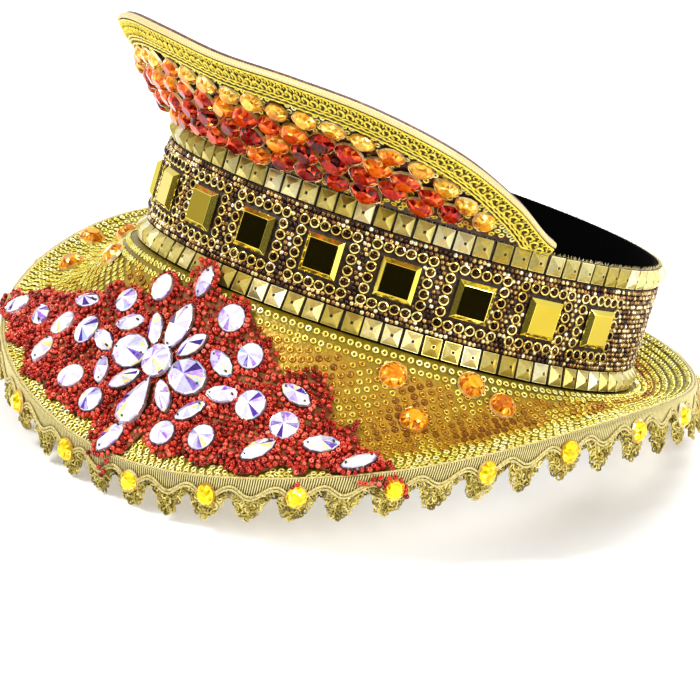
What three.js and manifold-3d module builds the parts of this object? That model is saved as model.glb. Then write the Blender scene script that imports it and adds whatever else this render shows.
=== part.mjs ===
// A jewelled festival cap: a round head band, a flared crown panel standing on its front half,
// and a full brim that drops steeply in front. Millimetres, +Z up, wearer facing -Y.
// It is drawn level, about the band's axis, and then leaned back as it lies on a table.
import * as THREE from 'three';
import { mergeVertices } from 'three/addons/utils/BufferGeometryUtils.js';
import Module from 'manifold-3d';

const wasm = await Module();
wasm.setup();

const gap = 0.3;
const degree = Math.PI / 180;
const fullTurn = 2 * Math.PI;

// Driving dimensions. Heights are measured from the bottom of the bead net.
const band = { innerRadius: 91.8, outerRadius: 94, bottom: -10.1, top: 39.7, steps: 48 };
const net = { innerRadius: 94.4, outerRadius: 95.6, bottom: 0.2, top: 31.7, steps: 48 };
const loop = { side: 21, width: 4, height: 1.6 };
const mirror = { count: 12, pitch: 28.8, shift: -4.4, side: 14.2, height: 2.7, backRadius: 96.1 };
const stud = { count: 80, height: 2 };
const upperStuds = { innerRadius: 94.4, outerRadius: 95.1, bottom: 32.1, top: 39.4, flare: 0 };
const lowerStuds = { innerRadius: 94.4, outerRadius: 95.2, bottom: -7.3, top: -0.2, flare: 1.6 };
const crown = { halfSpan: 71.6, baseRadius: 95, baseHeight: 40, thickness: 2.4, steps: 32 };
const piping = { radius: 1.6, sides: 6, steps: 32 };
const braid = { width: 9.3, thickness: 1.4 };
const navette = { length: 10.2, width: 7.6, height: 3.2, spacing: 11.2, sides: 8 };
const stoneRow = { count: 4, first: 4.6, pitch: 8.75, width: 8, seat: 0.6, thickness: 0.8, samples: 64 };
const brim = { rootRadius: 94.4, foldRadius: 99, rootHeight: -7.9, thickness: 2.2, steps: 48, rows: 4 };
const lace = { clear: 1.2, gimp: 10.6, gimpThickness: 1.6, drop: 6.2, thickness: 1 };
const laceFall = { middle: 82.5, swing: 27.5, twist: 5 };
const edgeStone = { length: 8.4, width: 6.8, height: 3, pitch: 34.3, shift: -19, seat: 6, sides: 8 };
const brimStone = { diameter: 8.6, height: 3.6, sides: 8 };
const motif = { halfSpan: 48, seat: 0.8, thickness: 1.3, steps: 12, rows: 3, stoneHeight: 3, sides: 8 };
const flowerStone = { height: 4, seat: 3, sides: 8 };

// Brim edge, every 30 degrees from the front round to the back, and how far the brim sags inside it.
const brimEdge = [
  { radius: 127.3, height: -74.3, sag: 8.3 },
  { radius: 134.7, height: -60.7, sag: 8.3 },
  { radius: 132.5, height: -32.3, sag: 6 },
  { radius: 125.4, height: -6.7, sag: 3 },
  { radius: 119.3, height: 0.9, sag: 1.5 },
  { radius: 120.1, height: 3.3, sag: 1 },
  { radius: 121.8, height: 5.1, sag: 1 },
];

// Crown rim, in equal steps of angle from the front to the end of the panel.
const crownRim = [
  { radius: 131.3, height: 74.6 },
  { radius: 132, height: 75.6 },
  { radius: 131, height: 74.6 },
  { radius: 126.4, height: 68.6 },
  { radius: 110.5, height: 56.8 },
  { radius: 98.0, height: 44.2 },
];

// Stones on the brim's upper side: angle from the front, and the share of the way to the edge.
const brimStones = [
  { angle: 45, share: 0.13 },
  { angle: 50.5, share: 0.41 },
  { angle: 61, share: 0.11 },
  { angle: 67.5, share: 0.28 },
  { angle: -40, share: 0.12 },
  { angle: -58, share: 0.6 },
  { angle: -61, share: 0.11 },
  { angle: -71, share: 0.8 },
];

// Outline of the beaded motif, in equal steps of angle from its middle to its tip, the same on both
// sides: the shares of the way to the brim's edge at which it starts and ends.
const motifOutline = [
  { inner: 0, outer: 0.98 },
  { inner: 0.02, outer: 0.87 },
  { inner: 0.04, outer: 0.9 },
  { inner: 0.11, outer: 0.9 },
  { inner: 0.16, outer: 0.94 },
  { inner: 0.2, outer: 0.9 },
  { inner: 0.33, outer: 0.95 },
  { inner: 0.52, outer: 0.97 },
  { inner: 0.86, outer: 0.98 },
];

// Small stones of the motif; each with an angle also stands mirrored. Turn is from straight downhill.
const motifStones = [
  { angle: 0, share: 0, shape: 'navette', length: 12.4, width: 6.5, turn: 0 },
  { angle: 0, share: 0.9, shape: 'navette', length: 12, width: 7, turn: 0 },
  { angle: 10, share: 0.09, shape: 'round', length: 10.4, width: 10.4, turn: 0 },
  { angle: 17.5, share: 0.21, shape: 'round', length: 9.3, width: 9.3, turn: 0 },
  { angle: 29, share: 0.34, shape: 'navette', length: 13.3, width: 6.3, turn: 68 },
  { angle: 12.5, share: 0.28, shape: 'navette', length: 11, width: 6, turn: 60 },
  { angle: 22, share: 0.44, shape: 'round', length: 11.4, width: 11.4, turn: 0 },
  { angle: 29.3, share: 0.53, shape: 'round', length: 10.5, width: 10.5, turn: 0 },
  { angle: 15.9, share: 0.42, shape: 'navette', length: 11, width: 6.4, turn: -75 },
  { angle: 36.5, share: 0.66, shape: 'navette', length: 13, width: 7, turn: -72 },
  { angle: 43, share: 0.885, shape: 'navette', length: 13, width: 7, turn: -58 },
  { angle: 27, share: 0.735, shape: 'navette', length: 13, width: 6.8, turn: -38 },
  { angle: 16.5, share: 0.7, shape: 'round', length: 10.3, width: 10.3, turn: 0 },
  { angle: 9, share: 0.735, shape: 'round', length: 9.6, width: 9.6, turn: 0 },
  { angle: 11.6, share: 0.55, shape: 'navette', length: 12, width: 6, turn: -42 },
];

// The large crystals of the flower in the middle of the motif.
const flower = [
  { name: 'flower_heart', angle: 0, share: 0.37, shape: 'round', length: 11, width: 11, turn: 0 },
  { name: 'flower_petal_top', angle: 0, share: 0.19, shape: 'navette', length: 15.4, width: 9, turn: 0 },
  { name: 'flower_petal_foot', angle: 0, share: 0.605, shape: 'drop', length: 19.5, width: 12, turn: 180 },
  { name: 'flower_petal_left', angle: 7.6, share: 0.39, shape: 'oval', length: 15, width: 12.6, turn: 80 },
  { name: 'flower_petal_right', angle: -7.6, share: 0.39, shape: 'oval', length: 15, width: 12.6, turn: -80 },
  { name: 'flower_leaf_left', angle: 5, share: 0.25, shape: 'navette', length: 11, width: 5.6, turn: -34 },
  { name: 'flower_leaf_right', angle: -5, share: 0.25, shape: 'navette', length: 11, width: 5.6, turn: 34 },
  { name: 'flower_bud_left', angle: 5, share: 0.525, shape: 'navette', length: 12, width: 5.6, turn: 40 },
  { name: 'flower_bud_right', angle: -5, share: 0.525, shape: 'navette', length: 12, width: 5.6, turn: -40 },
];

const finish = {
  liningBlack: { color: 0x0b0b0c, roughness: 0.95, metalness: 0 },
  netBronze: { color: 0x8a6a45, roughness: 0.45, metalness: 0.6 },
  mirrorGold: { color: 0xe3c04a, roughness: 0.12, metalness: 0.9 },
  studGold: { color: 0xd9c47c, roughness: 0.3, metalness: 0.9 },
  sequinGold: { color: 0xcfae3e, roughness: 0.35, metalness: 0.7 },
  laceGold: { color: 0xa88f3a, roughness: 0.6, metalness: 0.4 },
  satinCream: { color: 0xeadfae, roughness: 0.5, metalness: 0 },
  glassRed: { color: 0xb5381d, roughness: 0.1, metalness: 0 },
  glassAmber: { color: 0xe0901c, roughness: 0.1, metalness: 0 },
  crystal: { color: 0xe9ebf7, roughness: 0.05, metalness: 0 },
  beadRed: { color: 0xb32c1c, roughness: 0.3, metalness: 0 },
};
const rowColors = [0xa3200f, 0xb8381a, 0xcf5f20, 0xe2a83a];

function material(name, color) {
  return new THREE.MeshStandardMaterial({ ...finish[name], color: color ?? finish[name].color });
}

// Ring coordinates: angle in degrees from the front, positive towards the wearer's left (+X).
function ringPoint(angle, radius, height) {
  return new THREE.Vector3(radius * Math.sin(angle * degree), -radius * Math.cos(angle * degree), height);
}

// Turns a closed geometry the right way out and leaves positions only.
function tidySolid(geometry) {
  geometry.deleteAttribute('normal');
  geometry.deleteAttribute('uv');
  const solid = mergeVertices(geometry, 1e-4);
  const position = solid.getAttribute('position');
  const index = solid.getIndex();
  const corner = [new THREE.Vector3(), new THREE.Vector3(), new THREE.Vector3()];
  const kept = [];
  let volume = 0;
  for (let i = 0; i < index.count; i += 3) {
    const ids = [index.getX(i), index.getX(i + 1), index.getX(i + 2)];
    if (ids[0] === ids[1] || ids[1] === ids[2] || ids[2] === ids[0]) continue;
    ids.forEach((id, k) => corner[k].fromBufferAttribute(position, id));
    volume += corner[0].dot(corner[1].clone().cross(corner[2]));
    kept.push(ids);
  }
  solid.setIndex(kept.flatMap(([a, b, c]) => (volume > 0 ? [a, b, c] : [a, c, b])));
  return solid;
}

function fromLists(points, triangles) {
  const geometry = new THREE.BufferGeometry();
  geometry.setAttribute('position', new THREE.Float32BufferAttribute(points.flatMap((p) => p.toArray()), 3));
  geometry.setIndex(triangles.flat());
  return tidySolid(geometry);
}

// Joins overlapping solids into one body.
function fuse(geometries) {
  const solids = geometries.map((geometry) => new wasm.Manifold(new wasm.Mesh({
    numProp: 3,
    vertProperties: Float32Array.from(geometry.getAttribute('position').array),
    triVerts: Uint32Array.from(geometry.getIndex().array),
  })));
  const joined = solids.slice(1).reduce((whole, solid) => whole.add(solid), solids[0]).getMesh();
  const geometry = new THREE.BufferGeometry();
  geometry.setAttribute('position', new THREE.BufferAttribute(joined.vertProperties, 3));
  geometry.setIndex([...joined.triVerts]);
  return geometry;
}

// Surfaces are functions of u and v whose normal, U across V, points to the outside.
function normalOf(surface, u, v) {
  const step = 1e-3;
  const alongU = surface(u + step, v).sub(surface(u - step, v));
  const alongV = surface(u, v + step).sub(surface(u, v - step));
  return alongU.cross(alongV).normalize();
}

// A sheet over a surface, u and v both from 0 to 1, between two offsets along its normal.
function sheet(surface, { uSteps, vSteps, low, high, closed = false, shape = surface }) {
  const columns = closed ? uSteps : uSteps + 1;
  const layer = columns * (vSteps + 1);
  const points = [];
  for (const offset of [low, high]) {
    for (let j = 0; j <= vSteps; j += 1) {
      for (let i = 0; i < columns; i += 1) {
        const [u, v] = [i / uSteps, j / vSteps];
        points.push(surface(u, v).addScaledVector(normalOf(shape, u, v), offset));
      }
    }
  }
  const at = (side, i, j) => side * layer + j * columns + (i % columns);
  const triangles = [];
  const quad = (a, b, c, d) => triangles.push([a, b, c], [a, c, d]);
  for (let i = 0; i < uSteps; i += 1) {
    for (let j = 0; j < vSteps; j += 1) {
      quad(at(1, i, j), at(1, i + 1, j), at(1, i + 1, j + 1), at(1, i, j + 1));
      quad(at(0, i, j), at(0, i, j + 1), at(0, i + 1, j + 1), at(0, i + 1, j));
    }
    quad(at(0, i, 0), at(0, i + 1, 0), at(1, i + 1, 0), at(1, i, 0));
    quad(at(1, i, vSteps), at(1, i + 1, vSteps), at(0, i + 1, vSteps), at(0, i, vSteps));
  }
  for (let j = 0; j < vSteps && !closed; j += 1) {
    quad(at(0, 0, j), at(1, 0, j), at(1, 0, j + 1), at(0, 0, j + 1));
    quad(at(1, uSteps, j), at(0, uSteps, j), at(0, uSteps, j + 1), at(1, uSteps, j + 1));
  }
  return fromLists(points, triangles);
}

const outlines = {
  round: (t) => [Math.cos(t), Math.sin(t)],
  oval: (t) => [Math.cos(t), Math.sin(t)],
  navette: (t) => [Math.cos(t), Math.sign(Math.sin(t)) * Math.abs(Math.sin(t)) ** 1.4],
  drop: (t) => [Math.cos(t), 1.25 * Math.sin(t) * ((1 - Math.cos(t)) / 2) ** 0.7],
  square: (t) => [Math.SQRT2 * Math.cos(t + Math.PI / 4), Math.SQRT2 * Math.sin(t + Math.PI / 4)],
};

// A cut stone with a flat back at height 0, lying along X. Levels give the outline's share at each height.
function cutStone({ shape, length, width, sides }, levels) {
  const points = [];
  for (const level of levels) {
    for (let i = 0; i < sides; i += 1) {
      const [x, y] = outlines[shape]((i * fullTurn) / sides);
      points.push(new THREE.Vector3(x * length * 0.5 * level.share, y * width * 0.5 * level.share, level.height));
    }
  }
  const triangles = [];
  for (let k = 0; k + 1 < levels.length; k += 1) {
    for (let i = 0; i < sides; i += 1) {
      const next = (i + 1) % sides;
      const [a, b] = [k * sides + i, k * sides + next];
      triangles.push([a, b, b + sides], [a, b + sides, a + sides]);
    }
  }
  const top = (levels.length - 1) * sides;
  for (let i = 1; i + 1 < sides; i += 1) {
    triangles.push([0, i + 1, i], [top, top + i, top + i + 1]);
  }
  return fromLists(points, triangles);
}

function backedLevels(height) {
  return [{ share: 1, height: 0 }, { share: 0.52, height }];
}

function looseLevels(height) {
  return [{ share: 0.9, height: 0 }, { share: 1, height: height * 0.35 }, { share: 0.55, height }];
}

// The pose of a stone on a surface, lifted along the normal, its length turned from the V direction.
function seatOn(surface, u, v, lift, turn = 0) {
  const step = 1e-3;
  const up = normalOf(surface, u, v);
  const along = surface(u, v + step).sub(surface(u, v - step)).normalize().applyAxisAngle(up, turn * degree);
  const pose = new THREE.Matrix4().makeBasis(along, up.clone().cross(along), up);
  return pose.setPosition(surface(u, v).addScaledVector(up, lift));
}

// A smooth even curve through equally spaced values from the front (0) to the back (180 degrees).
function evenCurve(values) {
  const last = values.length - 1;
  const weight = (i) => (i === 0 || i === last ? 0.5 : 1);
  const terms = values.map((_, k) => {
    const sum = values.reduce((s, value, i) => s + weight(i) * value * Math.cos((k * i * Math.PI) / last), 0);
    return (2 / last) * sum * weight(k);
  });
  return (angle) => terms.reduce((s, term, k) => s + term * Math.cos(k * angle * degree), 0);
}

// A smooth curve through table values, mirrored about its first row; side runs from -1 to 1.
function mirroredCurve(values) {
  const row = [...values.slice(1).reverse(), ...values];
  const curve = new THREE.SplineCurve(row.map((value, i) => new THREE.Vector2(i, value)));
  return (side) => curve.getPoint(THREE.MathUtils.clamp((side + 1) / 2, 0, 1)).y;
}

const edgeRadius = evenCurve(brimEdge.map((row) => row.radius));
const edgeHeight = evenCurve(brimEdge.map((row) => row.height));
const brimSag = evenCurve(brimEdge.map((row) => row.sag));
const rimRadius = mirroredCurve(crownRim.map((row) => row.radius));
const rimHeight = mirroredCurve(crownRim.map((row) => row.height));

// Upper side of the brim: share 0 is the fold under the lower studs, 1 the edge, -1 the root.
function brimPoint(angle, share) {
  if (share < 0) {
    const radius = THREE.MathUtils.lerp(brim.foldRadius, brim.rootRadius, -share);
    return ringPoint(angle, radius, brim.rootHeight);
  }
  const radius = THREE.MathUtils.lerp(brim.foldRadius, edgeRadius(angle), share);
  const height = THREE.MathUtils.lerp(brim.rootHeight, edgeHeight(angle), share);
  return ringPoint(angle, radius, height - 4 * brimSag(angle) * share * (1 - share));
}

// Outer side of the lace, a distance below the brim's edge.
function lacePoint(angle, distance) {
  const turn = angle * degree;
  const { middle, swing, twist } = laceFall;
  const fall = (middle + swing * Math.cos(turn) + twist * Math.cos(2 * turn)) * degree;
  const radius = edgeRadius(angle) + lace.clear + distance * Math.cos(fall);
  return ringPoint(angle, radius, edgeHeight(angle) - distance * Math.sin(fall));
}

const crownSide = (u) => 2 * u - 1;

function crownSlope(side) {
  return Math.hypot(rimRadius(side) - crown.baseRadius, rimHeight(side) - crown.baseHeight);
}

// Outer side of the crown panel, a distance up its slope.
function crownPoint(side, distance) {
  const share = distance / crownSlope(side);
  const radius = THREE.MathUtils.lerp(crown.baseRadius, rimRadius(side), share);
  const height = THREE.MathUtils.lerp(crown.baseHeight, rimHeight(side), share);
  return ringPoint(side * crown.halfSpan, radius, height);
}

const panelEnd = (side) => crownSlope(side) - 2 * piping.radius - 2 * gap;
const braidEnd = (side) => panelEnd(side);
const braidStart = (side) => Math.max(2 * gap, braidEnd(side) - braid.width);

function headBand() {
  const { innerRadius, outerRadius, bottom, top } = band;
  const corners = [[innerRadius, bottom], [outerRadius, bottom], [outerRadius, top], [innerRadius, top]];
  const profile = [...corners, corners[0]].map(([x, y]) => new THREE.Vector2(x, y));
  return tidySolid(new THREE.LatheGeometry(profile, band.steps).rotateX(Math.PI / 2));
}

const mirrorAngle = (k) => ((k - (mirror.count - 1) / 2) * mirror.pitch + mirror.shift) / mirror.backRadius / degree;

// A square outline with points at its corners and at the middle of its sides.
function squareOutline(half, target) {
  for (let i = 0; i < 8; i += 1) {
    const turn = ((2 * i + 1) * Math.PI) / 8 + Math.PI / 8;
    const reach = half / Math.max(Math.abs(Math.cos(turn)), Math.abs(Math.sin(turn)));
    const [x, y] = [reach * Math.cos(turn), reach * Math.sin(turn)];
    if (i === 0) target.moveTo(x, y);
    else target.lineTo(x, y);
  }
  return target;
}

// A square loop of beads lying on the net, as one raised ring bent round the band.
function beadLoop(angle, height) {
  const outline = squareOutline((loop.side + loop.width) / 2, new THREE.Shape());
  outline.holes.push(squareOutline((loop.side - loop.width) / 2, new THREE.Path()));
  const flat = new THREE.ExtrudeGeometry(outline, { depth: gap + loop.height, bevelEnabled: false });
  const position = flat.getAttribute('position');
  for (let i = 0; i < position.count; i += 1) {
    const turn = angle + position.getX(i) / net.outerRadius / degree;
    const point = ringPoint(turn, net.outerRadius - gap + position.getZ(i), height + position.getY(i));
    position.setXYZ(i, point.x, point.y, point.z);
  }
  return tidySolid(flat);
}

function beadNet() {
  const surface = (u, v) => ringPoint(u * 360, net.outerRadius, THREE.MathUtils.lerp(net.bottom, net.top, v));
  const backing = sheet(surface, {
    uSteps: net.steps, vSteps: 1, low: net.innerRadius - net.outerRadius, high: 0, closed: true,
  });
  const middle = (net.bottom + net.top) / 2;
  const loops = Array.from({ length: mirror.count }, (_, k) => beadLoop(mirrorAngle(k), middle));
  return fuse([backing, ...loops]);
}

// A row of pyramid studs round the band; each outer face rises to a point.
function studRow({ innerRadius, outerRadius, bottom, top, flare }) {
  const points = [];
  const triangles = [];
  const step = 360 / stud.count;
  for (let k = 0; k < stud.count; k += 1) {
    const angle = k * step;
    points.push(ringPoint(angle, innerRadius + flare, bottom), ringPoint(angle, innerRadius, top));
    points.push(ringPoint(angle, outerRadius, top), ringPoint(angle, outerRadius + flare, bottom));
    points.push(ringPoint(angle + step / 2, outerRadius + flare / 2 + stud.height, (bottom + top) / 2));
    const here = k * 5;
    const next = ((k + 1) % stud.count) * 5;
    const apex = here + 4;
    triangles.push([here + 3, next + 3, apex], [next + 3, next + 2, apex]);
    triangles.push([next + 2, here + 2, apex], [here + 2, here + 3, apex]);
    for (const [a, b] of [[0, 3], [2, 1], [1, 0]]) {
      triangles.push([here + a, next + b, here + b], [here + a, next + a, next + b]);
    }
  }
  return fromLists(points, triangles);
}

function mirrorStone() {
  const { side, height } = mirror;
  const levels = [
    { share: 1, height: 0 },
    { share: 1, height: height * 0.3 },
    { share: 0.86, height: height * 0.75 },
    { share: 0.72, height },
  ];
  return cutStone({ shape: 'square', length: side, width: side, sides: 4 }, levels);
}

function crownPanel() {
  const surface = (u, v) => crownPoint(crownSide(u), v * panelEnd(crownSide(u)));
  return sheet(surface, { uSteps: crown.steps, vSteps: 1, low: -crown.thickness, high: 0 });
}

function crownBraid() {
  const surface = (u, v) => {
    const side = crownSide(u);
    return crownPoint(side, THREE.MathUtils.lerp(braidStart(side), braidEnd(side), v));
  };
  return sheet(surface, { uSteps: crown.steps, vSteps: 1, low: gap, high: gap + braid.thickness });
}

function crownPiping() {
  const count = piping.steps + 1;
  const points = Array.from({ length: count }, (_, i) => {
    const side = crownSide(i / piping.steps);
    return crownPoint(side, crownSlope(side) - piping.radius);
  });
  const section = new THREE.Shape();
  for (let i = 0; i < piping.sides; i += 1) {
    const turn = (i * fullTurn) / piping.sides;
    const [x, y] = [piping.radius * Math.cos(turn), piping.radius * Math.sin(turn)];
    if (i === 0) section.moveTo(x, y);
    else section.lineTo(x, y);
  }
  const path = new THREE.CatmullRomCurve3(points);
  return tidySolid(new THREE.ExtrudeGeometry(section, {
    steps: piping.steps, bevelEnabled: false, extrudePath: path,
  }));
}

// The distance up the crown's slope of a line that runs at an offset below the braid.
function belowBraid(side, offset) {
  const step = 0.01;
  const distance = braidStart(side);
  const climb = braidStart(side + step) - braidStart(side - step);
  const run = crownPoint(side + step, distance).distanceTo(crownPoint(side - step, distance));
  return distance - offset * Math.hypot(1, climb / run);
}

// The widest side at which a row of stones still clears the crown's base.
function rowReach(offset) {
  const step = 0.005;
  let side = 0;
  while (side < 1 && belowBraid(side + step, offset + stoneRow.width / 2) > 2 * gap) side += step;
  return side;
}

// A row of pointed oval stones, one on each step of a narrow strip, at an offset below the braid.
function crownStoneRow(offset) {
  const reach = rowReach(offset);
  const line = new THREE.CatmullRomCurve3(Array.from({ length: stoneRow.samples + 1 }, (_, i) => {
    const side = reach * crownSide(i / stoneRow.samples);
    return crownPoint(side, belowBraid(side, offset));
  }));
  const surface = (u, v) => {
    const side = reach * crownSide(line.getUtoTmapping(THREE.MathUtils.clamp(u, 0, 1)));
    return crownPoint(side, belowBraid(side, offset - (v - 0.5) * stoneRow.width));
  };
  const count = Math.floor(line.getLength() / navette.spacing);
  const strip = sheet(surface, {
    uSteps: count, vSteps: 1, low: stoneRow.seat, high: stoneRow.seat + stoneRow.thickness,
  });
  const lift = stoneRow.seat + stoneRow.thickness - 2 * gap;
  const along = (u, v) => surface(v, 1 - u);
  const stones = Array.from({ length: count }, (_, i) => {
    const stone = cutStone({ shape: 'navette', ...navette }, backedLevels(navette.height));
    return stone.applyMatrix4(seatOn(along, 0.5, (i + 0.5) / count, lift));
  });
  return fuse([strip, ...stones]);
}

// Surfaces that run outwards or down take their angles backwards, so that their normal points out.
const backwards = (u) => -360 * u;

function brimShell() {
  const share = (v) => (v * (brim.rows + 1) - 1) / (v * (brim.rows + 1) < 1 ? 1 : brim.rows);
  const surface = (u, v) => brimPoint(backwards(u), share(v));
  return sheet(surface, {
    uSteps: brim.steps, vSteps: brim.rows + 1, low: -brim.thickness, high: 0, closed: true,
  });
}

// The angle at a share of the way round the brim's edge, by distance along it.
const edgeSamples = 720;
const edgeReach = [0];
for (let i = 1; i <= edgeSamples; i += 1) {
  const [here, before] = [i, i - 1].map((k) => lacePoint((k * 360) / edgeSamples, 0));
  edgeReach.push(edgeReach[i - 1] + here.distanceTo(before));
}
const edgeLength = edgeReach[edgeSamples];

function edgeAngle(share) {
  const turns = Math.floor(share);
  const distance = (share - turns) * edgeLength;
  const next = Math.max(1, edgeReach.findIndex((reach) => reach >= distance));
  const part = (distance - edgeReach[next - 1]) / (edgeReach[next] - edgeReach[next - 1]);
  return 360 * (turns + (next - 1 + part) / edgeSamples);
}

const edgeCount = Math.round(edgeLength / edgeStone.pitch);
const edgeStart = edgeStone.shift / edgeLength + 0.25 / edgeCount;

// The gimp along the brim's edge, with a stone in the middle of every second step.
function edgeGimp() {
  const surface = (u, v) => lacePoint(edgeAngle(edgeStart - u), gap + v * lace.gimp);
  const strip = sheet(surface, {
    uSteps: 2 * edgeCount, vSteps: 1, low: 0, high: lace.gimpThickness, closed: true,
  });
  const lift = lace.gimpThickness - 2 * gap;
  const stones = Array.from({ length: edgeCount }, (_, k) => {
    const stone = cutStone({ shape: 'oval', ...edgeStone }, backedLevels(edgeStone.height));
    return stone.applyMatrix4(seatOn(surface, (k + 0.25) / edgeCount, edgeStone.seat / lace.gimp, lift));
  });
  return fuse([strip, ...stones]);
}

const laceStart = lace.gimp + 2 * gap;
const laceLobes = [0.3, 1, 0.3, 1];

// The scalloped lace below the gimp: a cluster of loops hangs under each stone and midway to the next.
function edgeLace() {
  const steps = edgeCount * laceLobes.length;
  const drop = (u) => lace.drop * laceLobes[Math.round(u * steps) % laceLobes.length];
  const plain = (u, v) => lacePoint(edgeAngle(edgeStart - u), laceStart + v * lace.drop);
  const scalloped = (u, v) => lacePoint(edgeAngle(edgeStart - u), laceStart + v * drop(u));
  return sheet(scalloped, {
    uSteps: steps, vSteps: 1, low: 0, high: lace.thickness, closed: true, shape: plain,
  });
}

const onBrim = (u, v) => brimPoint(-u, v);

// The beaded motif: a shaped plate on the front of the brim with its small stones set in it.
function motifPlate() {
  const inner = mirroredCurve(motifOutline.map((row) => row.inner));
  const outer = mirroredCurve(motifOutline.map((row) => row.outer));
  const surface = (u, v) => {
    const side = -crownSide(u);
    return brimPoint(side * motif.halfSpan, THREE.MathUtils.lerp(inner(side), outer(side), v));
  };
  const plate = sheet(surface, {
    uSteps: motif.steps, vSteps: motif.rows, low: motif.seat, high: motif.seat + motif.thickness,
  });
  const lift = motif.seat + motif.thickness - gap;
  const stones = motifStones.flatMap((row) => {
    return (row.angle === 0 ? [1] : [1, -1]).map((side) => {
      const stone = cutStone({ ...row, sides: motif.sides }, backedLevels(motif.stoneHeight));
      return stone.applyMatrix4(seatOn(onBrim, -side * row.angle, row.share, lift, side * row.turn));
    });
  });
  return fuse([plate, ...stones]);
}

const hat = new THREE.Group();

function addNode(name, geometry, finishName, color) {
  const mesh = new THREE.Mesh(geometry, material(finishName, color));
  mesh.name = name;
  hat.add(mesh);
  return mesh;
}

// Places a stone of its own on a surface.
function addStone(name, geometry, pose, finishName, color) {
  const mesh = addNode(name, geometry, finishName, color);
  pose.decompose(mesh.position, mesh.quaternion, mesh.scale);
}

const numbered = (name, index) => `${name}_${String(index + 1).padStart(2, '0')}`;

addNode('head_band', headBand(), 'liningBlack');
addNode('bead_net', beadNet(), 'netBronze');
addNode('stud_row_upper', studRow(upperStuds), 'studGold');
addNode('stud_row_lower', studRow(lowerStuds), 'studGold');

const onBand = (u, v) => ringPoint(u, mirror.backRadius, v);
for (let k = 0; k < mirror.count; k += 1) {
  const pose = seatOn(onBand, mirrorAngle(k), (net.bottom + net.top) / 2, 0);
  addStone(numbered('mirror_stone', k), mirrorStone(), pose, 'mirrorGold');
}

addNode('crown_front', crownPanel(), 'sequinGold');
addNode('crown_braid', crownBraid(), 'laceGold');
addNode('crown_piping', crownPiping(), 'satinCream');
for (let k = 0; k < stoneRow.count; k += 1) {
  const row = crownStoneRow(stoneRow.first + (stoneRow.count - 1 - k) * stoneRow.pitch);
  addNode(numbered('crown_stone_row', k), row, 'glassRed', rowColors[k]);
}

addNode('brim', brimShell(), 'sequinGold');
addNode('brim_gimp', edgeGimp(), 'laceGold');
addNode('brim_lace', edgeLace(), 'laceGold');
brimStones.forEach(({ angle, share }, k) => {
  const { diameter, height, sides } = brimStone;
  const stone = cutStone({ shape: 'round', length: diameter, width: diameter, sides }, looseLevels(height));
  addStone(numbered('brim_stone', k), stone, seatOn(onBrim, -angle, share, 2 * gap), 'glassAmber');
});

addNode('motif_plate', motifPlate(), 'beadRed');
for (const petal of flower) {
  const stone = cutStone({ ...petal, sides: flowerStone.sides }, looseLevels(flowerStone.height));
  const pose = seatOn(onBrim, -petal.angle, petal.share, flowerStone.seat, petal.turn);
  addStone(petal.name, stone, pose, 'crystal');
}

// On a table the cap lies back on the front and the back of its lace.
const laceEnd = laceStart + lace.drop;
const frontFoot = lacePoint(0, laceEnd);
const backFoot = lacePoint(180, laceEnd);
hat.rotation.x = -Math.atan2(backFoot.z - frontFoot.z, backFoot.y - frontFoot.y);
hat.updateMatrixWorld(true);
const box = new THREE.Box3().setFromObject(hat, true);
const middle = box.getCenter(new THREE.Vector3());
hat.position.set(-middle.x, -middle.y, -box.min.z);
hat.updateMatrixWorld(true);

export default hat;
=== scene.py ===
import math
import random

import bmesh
import bpy
import numpy as np
from mathutils import Matrix, Vector, noise


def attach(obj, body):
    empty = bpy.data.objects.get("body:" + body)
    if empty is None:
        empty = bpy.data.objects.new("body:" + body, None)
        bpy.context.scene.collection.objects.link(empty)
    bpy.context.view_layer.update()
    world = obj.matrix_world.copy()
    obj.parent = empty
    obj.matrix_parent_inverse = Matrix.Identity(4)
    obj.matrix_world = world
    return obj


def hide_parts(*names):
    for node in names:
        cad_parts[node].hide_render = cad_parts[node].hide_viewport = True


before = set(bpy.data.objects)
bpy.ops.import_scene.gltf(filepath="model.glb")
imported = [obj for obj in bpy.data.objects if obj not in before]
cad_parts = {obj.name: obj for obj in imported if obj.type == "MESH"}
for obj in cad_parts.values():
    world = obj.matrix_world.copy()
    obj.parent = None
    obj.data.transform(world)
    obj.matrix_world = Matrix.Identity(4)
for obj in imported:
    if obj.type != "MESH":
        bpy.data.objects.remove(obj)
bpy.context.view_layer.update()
seedNumber = 11
chance = random.Random(seedNumber)
manyDraws = np.random.default_rng(seedNumber)

# The cap is drawn level, in millimetres about the axis of its head band, and then leaned back to rest
# on the edge of its brim.
stance = {"tilt": -17.578, "aside": -0.164, "forward": 12.202, "up": 49.397}
toTable = (
    Matrix.Scale(0.001, 4)
    @ Matrix.Translation((stance["aside"], stance["forward"], stance["up"]))
    @ Matrix.Rotation(math.radians(stance["tilt"]), 4, "X")
)


# Curves and surfaces of the cap.

def lerp(a, b, share):
    return a + (b - a) * share


def evenCurve(values):  # from the front, 0 degrees, round to the back, 180
    last = len(values) - 1
    weights = [0.5 if i in (0, last) else 1 for i in range(last + 1)]
    terms = []
    for k in range(last + 1):
        total = sum(w * v * math.cos(k * i * math.pi / last)
                    for i, (w, v) in enumerate(zip(weights, values)))
        terms.append(2 / last * total * weights[k])
    return lambda angle: sum(t * math.cos(k * math.radians(angle)) for k, t in enumerate(terms))


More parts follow.
